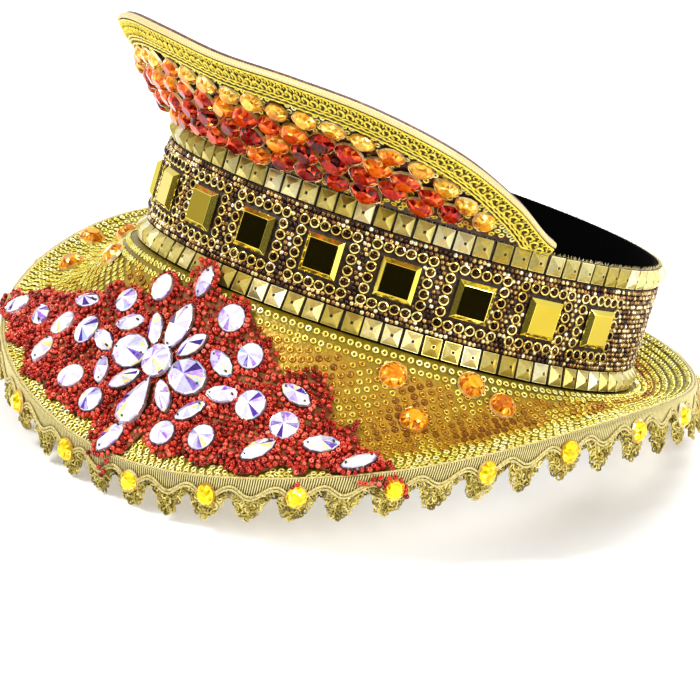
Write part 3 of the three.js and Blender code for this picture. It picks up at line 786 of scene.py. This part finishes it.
def makeMirrors():
    s = mirrors
    corner = s["side"] / math.sqrt(2)
    square = Matrix.Translation((0, 0, s["base"] / 2)) @ Matrix.Rotation(math.pi / 4, 4, "Z")
    stone = bmesh.new()
    bmesh.ops.create_cone(stone, cap_ends=True, segments=4, radius1=corner, radius2=corner,
                          depth=s["base"], matrix=square)
    top = highestFace(stone.faces)
    bmesh.ops.inset_individual(stone, faces=[top], thickness=s["inset"], depth=s["height"] - s["base"])
    top.material_index = 1
    ridges = [edge for edge in stone.edges if edge.calc_length() < s["ridge"] or top in edge.link_faces]
    bmesh.ops.bevel(stone, geom=ridges, offset=s["bevel"], segments=2, profile=0.5, affect="EDGES", material=0)
    wall = onBand(s["radius"] - s["sink"])
    poses = [seat(wall, mirrorAngle(k), net["middle"], s["sink"], 0, wobble(1.5)) for k in range(s["count"])]
    mesh = joinCopies("mirror_stones", stone, poses)
    nodes = [f"mirror_stone_{k + 1:02d}" for k in range(s["count"])]
    addPiece(mesh, ["mirrorGold", "mirrorTable"], nodes)


makeNet()
makeMirrors()


# Pyramid studs.

studs = {
    "count": 80, "width": 6.5, "height": 7.1, "rise": 2.6, "base": 0.6, "tip": 1.5,
    "rim": 0.25, "holeRim": 0.2, "holeSide": 0.05, "holeDepth": 0.8,
}
studRows = [
    {"node": "stud_row_upper", "bottom": 32.1, "top": 39.4, "radius": 94.9, "flare": 0},
    {"node": "stud_row_lower", "bottom": -7.3, "top": -0.2, "radius": 95, "flare": 1.6},
]


def makeStuds():
    s = studs
    for row in studRows:
        stud = bmesh.new()
        bmesh.ops.create_cube(stud, size=1, matrix=Matrix.Translation((0, 0, s["base"] / 2))
                              @ Matrix.Diagonal((s["height"], s["width"], s["base"], 1)))
        top = highestFace(stud.faces)
        bmesh.ops.inset_individual(stud, faces=[top], thickness=s["rim"], depth=0)
        tip = bmesh.ops.extrude_discrete_faces(stud, faces=[top])["faces"][0]
        bmesh.ops.translate(stud, verts=tip.verts[:], vec=(0, 0, s["rise"] - s["base"]))
        bmesh.ops.scale(stud, verts=tip.verts[:], vec=(s["tip"] / s["height"], s["tip"] / s["width"], 1))
        bmesh.ops.inset_individual(stud, faces=[tip], thickness=s["holeRim"], depth=0)
        bmesh.ops.inset_individual(stud, faces=[tip], thickness=s["holeSide"], depth=-s["holeDepth"])
        # The hole in the tip takes the dark finish: painted shade in the hole.
        tip.material_index = 1

        def slope(u, v):
            return ring(u, row["radius"] + row["flare"] * (row["top"] - v) / s["height"], v)

        poses = []
        for k in range(s["count"]):
            angle = 360 * (k + 0.5) / s["count"] + plusMinus(0.15)
            poses.append(seat(slope, angle, (row["bottom"] + row["top"]) / 2, 0.1, plusMinus(1.5), wobble(2.5)))
        mesh = joinCopies(row["node"] + "_metal", stud, poses)
        addPiece(mesh, ["studGold", "holePaintedShade"], [row["node"]])
        strip = bandRing([
            (trimInner, row["bottom"]), (row["radius"] + row["flare"] - 0.1, row["bottom"]),
            (row["radius"] - 0.1, row["top"]), (trimInner, row["top"]),
        ])
        addPiece(placedMesh(strip, row["node"] + "_tape"), ["netCloth"])


makeStuds()


# Ring sequins, used on the crown and the brim.

sequin = {
    "radius": 1.38, "hole": 0.6, "rise": 0.48,
    "along": 3.2, "first": 1.2, "apart": 2.85, "rows": 40, "nearBand": (1.5, 4.2), "gap": 1.3,
}


def sequinFlake():
    s = sequin
    flake = turned([(0, 0.06), (s["hole"], 0.1), (s["radius"] * 0.7, s["rise"]),
                    (s["radius"], 0.02), (0, -0.04)], 9)
    # The middle, where the hole is, takes the second finish: the cloth seen through the hole, with painted
    # shade.
    for face in flake.faces:
        middle = face.calc_center_median()
        face.material_index = int(middle.xy.length < s["hole"] and middle.z > 0.04)
    return flake


# Crown: panel, stones, braid and piping.

piping = {"across": 1.35, "along": 0.85, "ribs": 235, "slant": 5, "ribRise": 0.03}
navette = {"length": 10.5, "width": 8.2, "height": 3.2, "spacing": 11.0}
stoneRows = {"count": 4, "first": 4.6, "pitch": 8.75, "width": 8, "seat": 0.8}
crownSequins = {"rows": 14, "first": 1.1, "pitch": 2.7, "along": 2.9, "hidden": 4.3, "half": 6.2}
rowFinishes = ["rowRed", "rowScarlet", "rowOrange", "rowAmber"]
rowMixes = [  # shares of the four finishes in each row, from the base up
    (0.85, 0.15, 0, 0), (0.55, 0.35, 0.1, 0), (0.4, 0.35, 0.25, 0), (0, 0, 0.2, 0.8),
]
braid = {
    "width": 10.7, "loop": 1.45, "wire": 0.46, "cord": 0.42, "wave": 260,
    "curls": [(4.6, 3.5, 1), (1.6, 2.7, 0.72)],  # distance back from the piping, pitch, size
    "cords": [(0.1, 0), (6.9, 0.25), (8.3, -0.25), (10.2, 0.15)],  # distance back, swing
}


def panelEnd(side):
    return crownSlope(side) - 2 * piping["along"] - 0.5


def braidStart(side):
    return max(0.6, panelEnd(side) - braid["width"])


def makeCrownPanel():
    def face(u, v):
        side = 2 * u - 1
        return crownPoint(side, v * (panelEnd(side) + 1.6))

    panel = padSheet(96, 8, face, -crown["thickness"], 0)
    for part in panel.faces:
        middle = part.calc_center_median()
        part.material_index = int(part.normal.dot(Vector((middle.x, middle.y, -abs(middle.z)))) < 0)
    addPiece(placedMesh(panel, "crown_panel"), ["crownCloth", "lameGold"], ["crown_front"])


# The distance up the slope of a line that keeps an offset below the braid.
def belowBraid(side, offset):
    distance = braidStart(side)
    climb = braidStart(side + 0.01) - braidStart(side - 0.01)
    run = (crownPoint(side + 0.01, distance) - crownPoint(side - 0.01, distance)).length
    return distance - offset * math.hypot(1, climb / run)


def rowReach(offset):
    side = 0
    while side < 1 and belowBraid(side + 0.005, offset + stoneRows["width"] / 2) > 0.6:
        side += 0.005
    return side


# Sides at equal steps along a line below the braid, each in the middle of its step.
def rowSides(offset, reach, spacing):
    sides = [reach * (k / 100 - 1) for k in range(201)]
    line = [crownPoint(side, belowBraid(side, offset)) for side in sides]
    along = [0] + list(np.cumsum([(b - a).length for a, b in zip(line, line[1:])]))
    count = int(along[-1] / spacing)
    return [float(np.interp((i + 0.5) / count * along[-1], along, sides)) for i in range(count)]


def rowSlant(side, offset):  # the turn that lays a stone along its row
    ahead, behind = (crownPoint(side + d, belowBraid(side + d, offset)) for d in (0.005, -0.005))
    local = seat(crownPoint, side, belowBraid(side, offset)).inverted().to_3x3() @ (ahead - behind)
    return math.degrees(math.atan2(local.y, local.x))


def makeCrownStones():
    centres = []
    topRow = stoneRows["count"] - 1
    for k, mix in enumerate(rowMixes):
        offset = stoneRows["first"] + (topRow - k) * stoneRows["pitch"]
        poses, kinds = [], []
        for side in rowSides(offset, rowReach(offset), navette["spacing"]):
            distance = belowBraid(side, offset) + plusMinus(0.5)
            centres.append(crownPoint(side, distance))
            size = chance.uniform(0.88, 1) if k == topRow else chance.uniform(1.02, 1.18)
            pose = seat(crownPoint, side, distance, stoneRows["seat"] + chance.uniform(-0.2, 0.6),
                        rowSlant(side, offset) + plusMinus(12), (chance.uniform(-12, 4), plusMinus(5)))
            poses.append(pose @ Matrix.Scale(size, 4))
            low = k == topRow and abs(side) > 0.85
            kind = chance.choices(range(4), rowMixes[topRow - 1] if low else mix)[0]
            warmer = k < topRow and kind < 2 and -0.7 < side < 0.2 and chance.random() < 0.6
            kinds.append(kind + warmer)
        stone = cutStone("navette", navette["length"], navette["width"], navette["height"], 12)
        inStone = [face.material_index == 0 for face in stone.faces]
        mesh = joinCopies(f"crown_stones_{k + 1:02d}", stone, poses)
        picked = [kind if glass else len(rowFinishes) for kind in kinds for glass in inStone]
        mesh.polygons.foreach_set("material_index", picked)
        addPiece(mesh, rowFinishes + ["bezelGold"], [f"crown_stone_row_{k + 1:02d}"])

    # gold sequins between the stones and out to the ends of the panel
    s = crownSequins
    poses, tones = [], []
    for row in range(s["rows"]):
        offset = s["first"] + s["pitch"] * row
        reach = 0.98
        while reach > 0.05 and belowBraid(reach, offset) < 1.4:
            reach -= 0.01
        for side in rowSides(offset, reach, s["along"]):
            here = crownPoint(side, belowBraid(side, offset))
            apart = min((here - centre).length for centre in centres)
            if apart < s["hidden"] or (apart < s["half"] and row > 1 and chance.random() < 0.55):
                continue
            poses.append(seat(crownPoint, side, belowBraid(side, offset), 0.15, 0, wobble(14)))
            # Tone: darker the nearer a stone, painted shade from the stones; lighter in the two rows under the
            # braid.
            tones.append(min(0.35 + 0.04 * apart + (0.3 if row < 2 else 0), 0.9) + plusMinus(0.15))
    mesh = joinCopies("crown_sequins", sequinFlake(), poses, tones)
    addPiece(mesh, ["sequinGold", "sequinHoleClothAndShade"])


def crownPath(distanceAt, lift):
    def path(u):
        side = 2 * u - 1
        distance = distanceAt(side)
        out = normalOf(crownPoint, side, distance)
        return crownPoint(side, distance) + out * lift, out
    return path


def makeBraid():
    s = braid

    def face(u, v):
        side = 2 * u - 1
        return crownPoint(side, lerp(braidStart(side), panelEnd(side), v))

    ribbon = padSheet(96, 3, face, 0.3, 0.9)
    addPiece(placedMesh(ribbon, "braid_ribbon"), ["braidGround"], ["crown_braid"])

    # a row of large curls, and a smaller one under the piping
    poses = []
    for back, pitch, size in s["curls"]:
        side = -1.0
        while side < 1:
            distance = panelEnd(side) - back
            here = crownPoint(side, max(distance, 0.6))
            if distance > 0.8:
                turn = 215 + plusMinus(12)
                pose = seat(crownPoint, side, distance, 1.15, turn, (chance.uniform(4, 14), plusMinus(6)))
                poses.append(pose @ Matrix.Scale(size, 4))
            ahead = crownPoint(side + 0.01, max(distance, 0.6))
            side += 0.01 * pitch / (ahead - here).length
    curl = wireLoop(s["loop"], s["wire"], 10, 6, 300)
    addPiece(joinCopies("braid_loops", curl, poses), ["braidGold"])

    cords = []
    for back, swing in s["cords"]:
        def distanceAt(side):
            return max(panelEnd(side) - back + swing * math.sin(side * s["wave"]), 0.5)

        cords.append(cordMesh(420, 6, crownPath(distanceAt, 1.1), s["cord"], closed=False))
    addPiece(placedMesh(merge(cords), "braid_cords"), ["braidGold"])


def makePiping():
    s = piping
    path = crownPath(lambda side: crownSlope(side) - s["along"], 0)

    def ribWave(u, v):  # fine ribs that run slantwise round the fold
        return math.cos(2 * math.pi * (u * s["ribs"] + v * s["slant"]))

    def reach(u, v):
        turn = 2 * math.pi * v
        flat = 1 / math.hypot(math.cos(turn) / s["across"], math.sin(turn) / s["along"])
        return flat * (1 + s["ribRise"] * ribWave(u, v))

    # The tone follows the ribs: painted shade in the grooves and painted highlight on the crests.
    cord = cordMesh(1320, 14, path, reach, closed=False, toneAt=lambda u, v: 0.5 + 0.22 * ribWave(u, v))
    addPiece(placedMesh(cord, "crown_piping_satin"), ["satinCream"], ["crown_piping"])


makeCrownPanel()
makeCrownStones()
makeBraid()
makePiping()


# Brim: shell, ring sequins and amber stones.

brimStones = [  # angle, share of the way to the edge
    (45, 0.13), (50.5, 0.41), (61, 0.11), (67.5, 0.28), (-40, 0.12), (-58, 0.6), (-61, 0.11), (-71, 0.8),
]
brimShade = {
    # The second fall, on the wearer's right, is smaller: a painted sheen there.
    "light": 0.82, "fall": 0.57, "fallUnderPaintedSheen": 0.2, "rightFrom": -26,
    "fromEdge": (9, 6), "fromBand": (3, 4),  # where the bronze starts, and over how far
}


def halfTurn(angle):  # from -180 up to 180
    return (angle + 180) % 360 - 180


def clamped(value):
    return min(max(value, 0), 1)


# How light the sequins are: lemon beside the edge and the band, bronze in between.
def brimTone(angle, share):
    s = brimShade
    angle, width = halfTurn(angle), brimWidth(angle)
    inside = 1
    for distance, (start, length) in ((width * (1 - share), s["fromEdge"]), (width * share, s["fromBand"])):
        inside *= clamped((distance - start) / length)
    patch = noise.noise(Vector((angle * 0.09, share * 3, 4))) * 0.6 + 0.62
    # Past rightFrom, on the wearer's right, the bronze falls less: a painted sheen where the brim is seen at a
    # grazing angle.
    return s["light"] - (s["fallUnderPaintedSheen"] if angle < s["rightFrom"] else s["fall"]) * inside * clamped(patch)


def makeBrimShell():
    root = 0.12  # how much of the sheet goes to the part below the studs

    def face(u, v):
        share = v * (1 + root) - root
        return onBrim(360 * u, share / root if share < 0 else share)

    shell = padSheet(240, 16, face, -brim["thickness"], 0, closed=True)
    for part in shell.faces:
        part.material_index = int(part.normal.z < 0.02)

    def toneAt(vert):
        flat = toTable.inverted() @ vert.co
        angle = math.degrees(math.atan2(flat.x, -flat.y))
        share = (math.hypot(flat.x, flat.y) - brim["fold"]) / (edgeRadius(angle) - brim["fold"])
        return brimTone(angle, clamped(share))

    addPiece(placedMesh(shell, "brim_cloth", toneAt), ["brimCloth", "lameGold"], ["brim"])


def makeSequins():
    s = sequin
    poses, tones = [], []

    def lay(angle, share):
        if not underMotif(halfTurn(angle), share):
            poses.append(seat(onBrim, -angle, share, 0.1, 0, wobble(9)))
            tones.append(brimTone(angle, share) + plusMinus(0.14))

    for row in range(s["rows"]):
        fromEdge = s["first"] + row * s["apart"]
        angle = chance.uniform(0, 2)
        while angle < 360:
            share = 1 - fromEdge / brimWidth(angle)
            step = math.radians(1) * lerp(brim["fold"], edgeRadius(angle), max(share, 0)) * 1.03
            if share * brimWidth(angle) > s["nearBand"][-1] + s["gap"]:
                lay(angle, share)
            angle += s["along"] * chance.uniform(0.93, 1.07) / step
    for fromBand in s["nearBand"]:
        angle = chance.uniform(0, 2)
        while angle < 360:
            lay(angle, fromBand / brimWidth(angle))
            angle += math.degrees(s["along"] * chance.uniform(0.93, 1.07) / (brim["fold"] + fromBand))
    # in two halves, front and back, to keep each piece small
    behind = [(toTable @ pose).translation.y > 0.02 for pose in poses]
    for name, wanted in (("brim_sequins_front", False), ("brim_sequins_back", True)):
        chosen = [i for i, back in enumerate(behind) if back == wanted]
        mesh = joinCopies(name, sequinFlake(), [poses[i] for i in chosen], [tones[i] for i in chosen])
        addPiece(mesh, ["sequinGold", "sequinHoleClothAndShade"])


def makeBrimStones():
    poses = [seat(onBrim, -angle, share, 0.3, chance.uniform(0, 90), wobble(4)) for angle, share in brimStones]
    stone = cutStone("round", 9.8, 9.8, 4, 14)
    nodes = [f"brim_stone_{k + 1:02d}" for k in range(len(brimStones))]
    addPiece(joinCopies("amber_stones", stone, poses), ["amberGlass", "bezelGold"], nodes)


# Motif outline.

outerLine = steppedCurve([  # angle and share, measured on both sides: the wearer's right is negative
    (-50, 1.16), (-46, 1.08), (-43, 1), (-39, 0.96), (-35, 1.02), (-31.2, 0.85), (-28, 0.9), (-25.5, 0.985),
    (-21.3, 0.885), (-17, 0.93), (-14.4, 0.863), (-11.7, 0.892), (-8.8, 0.871), (-5.7, 0.833), (-4.2, 0.957),
    (-3, 1.03), (-1, 1.03), (0.5, 1.13), (1.8, 1.05), (3.5, 1), (4.2, 0.8), (5, 0.78), (7, 0.85),
    (11.3, 0.925), (14, 0.84), (19, 0.935), (21, 0.855), (24, 0.94), (25.8, 1.01), (28.4, 0.96),
    (31.3, 0.855), (33.4, 0.9), (34.2, 1.03), (35, 1.09), (35.8, 0.86), (37.5, 0.91), (40.6, 1),
    (42.5, 1.02), (45.5, 1.08), (49, 1.17), (51, 1.2),
])
innerLine = steppedCurve([
    (-50, 1.12), (-48, 0.89), (-46.5, 0.6), (-36, 0.365), (-29, 0.27), (-27, 0.19), (-25.5, 0.15),
    (-21, 0.17), (-17, 0.144), (-11.5, 0.096), (-8.9, 0.061), (-5.5, 0.04), (-4.4, -0.02), (-2.5, -0.13),
    (1.2, -0.13), (3.2, -0.04), (5, 0.02), (8, -0.01), (11, 0), (14.4, 0.05), (16.7, 0.1), (21, 0.127),
    (24.1, 0.235), (26.7, 0.204), (31.5, 0.175), (35.2, 0.28), (36.6, 0.45), (39, 0.5), (41, 0.43),
    (42, 0.6), (44.6, 0.725), (47.2, 0.89), (49.5, 1.05), (51, 1.17),
])


def underMotif(angle, share, margin=0.01):
    return abs(angle) < 50 and innerLine(angle) + margin < share < outerLine(angle) - margin


makeBrimShell()
makeSequins()
makeBrimStones()


# Gimp, cords, stones and lace along the brim's edge.

gimp = {"thickness": 1.2, "ribPitch": 0.95, "ribRise": 0.45}
edgeStones = {"length": 8.6, "width": 7.0, "height": 3.2, "pitch": 34.3, "shift": -19, "seat": 6.5}
scallop = {
    "count": 48, "loop": 1.05, "wire": 0.36, "cord": 0.5, "swing": 2.1, "middle": 5.5, "foot": 16.6,
    "rows": 7, "apart": 1.15, "topLoops": 11, "clear": 0.0016,
    "pointed": {"length": 8.4, "half": 6.4, "taper": 0.55},
    "blunt": {"length": 7.8, "half": 6.2, "taper": 0.36},
}


def scallopWave(distance):  # 1 where a cluster of lace hangs, -1 between two
    return math.cos(2 * math.pi * (distance - edgeStones["shift"]) / (edgeLength / scallop["count"]))


def cordLine(distance):  # how far below the brim's edge the wavy cord runs
    return scallop["middle"] + scallop["swing"] * scallopWave(distance)


def makeGimp():
    s = gimp
    ribs = round(edgeLength / s["ribPitch"])

    def strip(u, v):
        along = -u * edgeLength
        return onLace(-edgeAngle(along), lerp(0.1, cordLine(along) + 1, v))

    def ribWave(u):
        return 0.5 + 0.5 * math.cos(2 * math.pi * u * ribs)

    # The tone is low in the grooves between the ribs: painted shade.
    band = padSheet(ribs * 4, 2, strip, 0.1, lambda u: s["thickness"] - s["ribRise"] * ribWave(u),
                    closed=True, toneAt=lambda u, v: 1 - ribWave(u))
    addPiece(placedMesh(band, "edge_gimp"), ["gimpCream"], ["brim_gimp"])

    def trimPath(distanceAt, lift):
        def path(u):
            along = -u * edgeLength
            spot = (-edgeAngle(along), distanceAt(along))
            out = normalOf(onLace, *spot)
            return onLace(*spot) + out * lift, out
        return path

    def edgePath(u):
        angle = edgeAngle(-u * edgeLength)
        return onBrim(-angle, 1) + ring(angle, 0.45, 0) + Vector((0, 0, -0.1)), ring(angle, 1, 0.4)

    cords = [cordMesh(900, 6, edgePath, 0.62)]
    for shift in (-0.6, 0.6):
        path = trimPath(lambda along: cordLine(along) + shift, s["thickness"] + 0.4)
        cords.append(cordMesh(960, 6, path, scallop["cord"]))
    addPiece(placedMesh(merge(cords), "edge_cords"), ["cordCream"])


def makeEdgeStones():
    s = edgeStones
    count = round(edgeLength / s["pitch"])
    poses = []
    for k in range(count):
        angle = edgeAngle(s["shift"] - k * edgeLength / count)
        poses.append(seat(onLace, -angle, s["seat"] + plusMinus(0.3), gimp["thickness"] + 0.5,
                          plusMinus(14), wobble(6)))
    stone = cutStone("oval", s["length"], s["width"], s["height"], 12)
    mesh = joinCopies("edge_stones", stone, poses)
    addPiece(mesh, ["yellowGlass", "bezelGold"], ["brim_gimp"])


# Knotted metal thread: small loops below the cord, and a tapering cluster under each of its dips.
def makeLace():
    s = scallop
    pitch = edgeLength / s["count"]
    poses, tones = [], []

    def knot(along, down, tone):
        pose = seat(onLace, -edgeAngle(along), min(down, s["foot"]), 0.5 + chance.uniform(-0.3, 0.4),
                    chance.uniform(0, 360), (plusMinus(50), plusMinus(35)))
        if (toTable @ pose).translation.z > s["clear"]:
            poses.append(pose)
            tones.append(tone + plusMinus(0.35))

    for k in range(s["count"]):
        middle = edgeStones["shift"] - k * pitch
        cluster = s["pointed"] if k % 2 else s["blunt"]
        length = cluster["length"] * chance.uniform(0.92, 1.05)
        half = cluster["half"] * chance.uniform(0.92, 1.08)
        for row in range(s["rows"]):
            share = row / (s["rows"] - 1)
            bulge = half * (1 - share) ** cluster["taper"] + 0.6
            knots = max(2, round(2 * bulge / s["apart"]))
            for i in range(knots):
                across = lerp(-bulge, bulge, (i + 0.5) / knots) + plusMinus(0.3)
                down = s["middle"] + s["swing"] + 1.2 + length * share - 0.05 * across**2 + plusMinus(0.3)
                knot(middle + across, down, 0.5 + 0.2 * (1 - share))
        for i in range(s["topLoops"]):
            along = middle + pitch * (i / s["topLoops"] - 0.5)
            knot(along, cordLine(along) + 1.7, 0.55)
            if scallopWave(along) < 0:
                knot(along, cordLine(along) + 3.2, 0.4)
    loop = wireLoop(s["loop"], s["wire"], 7, 4)
    half = len(poses) // 2
    for name, part in (("edge_lace_left", slice(0, half)), ("edge_lace_right", slice(half, None))):
        addPiece(joinCopies(name, loop.copy(), poses[part], tones[part]), ["laceGold"], ["brim_lace"])
    loop.free()


makeGimp()
makeEdgeStones()
makeLace()


# Beaded motif with crystals.

# Angle, share of the way to the edge, shape, length, width and turn; mirrored unless the angle is 0.
motifStones = [
    (0, 0, "navette", 12.4, 6.5, 0), (0, 0.9, "navette", 14.4, 7, 0), (10, 0.09, "round", 10.4, 10.4, 0),
    (17.5, 0.21, "round", 9.6, 9.6, 0), (29, 0.34, "navette", 13.3, 6.5, 68),
    (12.6, 0.28, "navette", 12.6, 6.8, 60), (22, 0.44, "round", 11.6, 11.6, 0),
    (29.3, 0.53, "round", 10.5, 10.5, 0), (15.9, 0.42, "navette", 12.6, 6.8, -75),
    (36.5, 0.66, "navette", 13, 7.2, -72), (43.1, 0.89, "navette", 14, 7.5, -58),
    (27, 0.735, "navette", 14, 7, -38), (16.5, 0.7, "round", 10.4, 10.4, 0), (9, 0.735, "round", 10, 10, 0),
    (11.6, 0.55, "navette", 12.8, 6.2, -42),
]
flower = [
    ("flower_heart", 0, 0.375, "round", 12, 12, 0),
    ("flower_petal_top", 0, 0.2, "navette", 18.5, 9.4, 0),
    ("flower_petal_foot", 0, 0.6, "drop", 19.5, 12, 180),
]
for part, angle, share, *size, turn in [  # these stand on both sides
    ("petal", 7.6, 0.39, "oval", 16.4, 13.2, 80), ("leaf", 5, 0.25, "navette", 13, 6.4, -34),
    ("bud", 5, 0.525, "navette", 13.6, 6.2, 42),
]:
    flower += [(f"flower_{part}_left", angle, share, *size, turn),
               (f"flower_{part}_right", -angle, share, *size, -turn)]
seed = {"radius": 1.05, "hole": 0.34, "pitch": 2.3, "rows": 2.05, "lines": 84, "share": 0.94, "edge": 51}
crystalCut = {"height": 3.6, "seat": 2.3, "flowerHeight": 4.4, "flowerSeat": 3, "heartSeat": 4.6}


# Above the fold the beadwork stands before the studs, and past the edge it lies on the gimp.
def onMotif(back, share):
    if share < 0:
        return ring(-back, brim["fold"], brim["rootHeight"] - share * brimWidth(0))
    if share <= 1:
        return onBrim(back, share)
    return onLace(back, (share - 1) * brimWidth(back))


def motifCrystals():
    for angle, share, shape, length, width, turn in motifStones:
        for side in ((1, -1) if angle else (1,)):
            yield side * angle, share, shape, length, width, side * turn


def makeMotif():
    # felt under the beads
    def felt(u, v):
        turn = lerp(47, -47, u)
        low, high = max(innerLine(turn), 0) + 0.02, min(outerLine(turn), 0.99) - 0.02
        return onBrim(-turn, lerp(low, max(high, low + 0.02), v))

    plate = padSheet(192, 10, felt, 0.4, 1.3)
    addPiece(placedMesh(plate, "motif_felt"), ["feltGold"], ["motif_plate"])

    # seed beads all over, except under the crystals
    stones = [(a, s, l, w, t) for a, s, _, l, w, t in motifCrystals()]
    stones += [(a, s, l, w, t) for _, a, s, _, l, w, t in flower]
    seats = [(seat(onMotif, -a, s, 0, t), l, w) for a, s, l, w, t in stones]
    inverses = [(place.translation, place.inverted(), l, w) for place, l, w in seats]
    beadPoses, tones = [], []
    for row in range(seed["lines"]):
        angle = -seed["edge"] + (row % 2) * 0.5
        while angle < seed["edge"]:
            share = -0.14 + (row + plusMinus(0.35)) * seed["rows"] / brimWidth(0)
            here = onMotif(-angle, share)
            if innerLine(angle) < share < outerLine(angle) and chance.random() < seed["share"]:
                nearby = [(inverse @ here, l, w) for place, inverse, l, w in inverses
                          if (place - here).length < 12]
                if all((2 * p.x / (l + 1)) ** 2 + (2 * p.y / (w + 1)) ** 2 > 1 for p, l, w in nearby):
                    lift = (1.7 if 0 <= share <= 1 else 2.4) + chance.uniform(-0.4, 0.9)
                    beadPoses.append(seat(onMotif, -angle, share, lift, chance.uniform(0, 360), wobble(70)))
                    tones.append(0.1 + 0.8 * chance.random())
            angle += seed["pitch"] * chance.uniform(0.8, 1.2) / (math.radians(1) * math.hypot(here.x, here.y))

    # a closer ring of beads round each crystal
    for place, length, width in seats:
        count = round(math.pi * (length + width + 4) / 2 / seed["rows"])
        for k in range(count):
            t = 2 * math.pi * (k + 0.5) / count
            x, y = (length / 2 + 1.15) * math.cos(t), (width / 2 + 1.15) * math.sin(t)
            spot = Matrix.Translation((x, y, chance.uniform(2.2, 2.8))) @ Matrix.Rotation(t, 4, "Z")
            beadPoses.append(place @ spot @ Matrix.Rotation(chance.uniform(0.2, 1.3), 4, "X"))
            tones.append(0.25 + 0.7 * chance.random())
    r, hole = seed["radius"], seed["hole"]
    bead = turned([(hole, -r * 0.62), (r * 0.8, -r * 0.6), (r, 0), (r * 0.8, r * 0.6), (hole, r * 0.62)], 7,
                  closed=True)
    addPiece(joinCopies("seed_beads", bead, beadPoses, tones), ["seedRed"], ["motif_plate"])


def makeCrystals():
    s = crystalCut
    groups = {}
    for angle, share, *size, turn in motifCrystals():
        pose = seat(onMotif, -angle, share, s["seat"], turn, wobble(7))
        groups.setdefault(tuple(size), []).append(pose)
    for index, ((shape, length, width), poses) in enumerate(groups.items()):
        stone = cutStone(shape, length, width, s["height"], 14 if shape == "round" else 10, point=True)
        mesh = joinCopies(f"crystals_{index + 1:02d}", stone, poses)
        addPiece(mesh, ["crystal", "settingSilver"], ["motif_plate"])

    # the thread holes near both ends of each sewn-on stone, drawn as dark pins: painted shade in the holes
    holes = []
    for angle, share, shape, length, _, turn in [*motifCrystals(), *(row[1:] for row in flower)]:
        if shape != "round":
            base = seat(onMotif, -angle, share, 2.6 if length < 15 else 3.4, turn)
            holes += [base @ Matrix.Translation((side * (length / 2 - 1.9), 0, 0)) for side in (-1, 1)]
    pin = bmesh.new()
    bmesh.ops.create_cone(pin, cap_ends=True, segments=7, radius1=0.5, radius2=0.4, depth=2.4,
                          matrix=Matrix.Translation((0, 0, 1.2)))
    addPiece(joinCopies("crystal_thread_hole_shade", pin, holes), ["holePaintedShade"])

    for name, angle, share, shape, length, width, turn in flower:
        heart = shape == "round"
        stone = cutStone(shape, length, width, s["flowerHeight"], 16 if heart else 12, point=True)
        pose = seat(onMotif, -angle, share, s["heartSeat" if heart else "flowerSeat"], turn, wobble(2))
        mesh = joinCopies(name + "_crystal", stone, [pose])
        addPiece(mesh, ["crystal", "settingSilver"], [name])


makeMotif()
makeCrystals()


# Floor.

card = {"radius": 1.0, "start": -33, "end": 90, "height": 0.3}  # metres, and degrees round from the front


def makeStage():
    plane = bmesh.new()
    bmesh.ops.create_grid(plane, x_segments=2, y_segments=2, size=6)
    floor = bpy.data.objects.new("floor", toMesh(plane, "floor"))
    floor.data.materials.append(finishes["floorPale"])

    # a low black card round the front is seen in reflections only, to give the mirrors something dark
    wall = bmesh.new()
    foot = ring(card["start"], card["radius"], 0)
    edge = wall.edges.new([wall.verts.new(foot + Vector((0, 0, rise))) for rise in (0.001, card["height"])])
    bmesh.ops.spin(wall, geom=[edge, *edge.verts], cent=(0, 0, 0), axis=(0, 0, 1), dvec=(0, 0, 0),
                   angle=math.radians(card["end"] - card["start"]), steps=24)
    blackCard = bpy.data.objects.new("blackCard", toMesh(wall, "blackCard"))
    blackCard.data.materials.append(finishes["blackCard"])
    blackCard.visible_camera = blackCard.visible_diffuse = blackCard.visible_shadow = False
    for piece in (floor, blackCard):
        bpy.context.scene.collection.objects.link(piece)


makeStage()

print("scene finished")
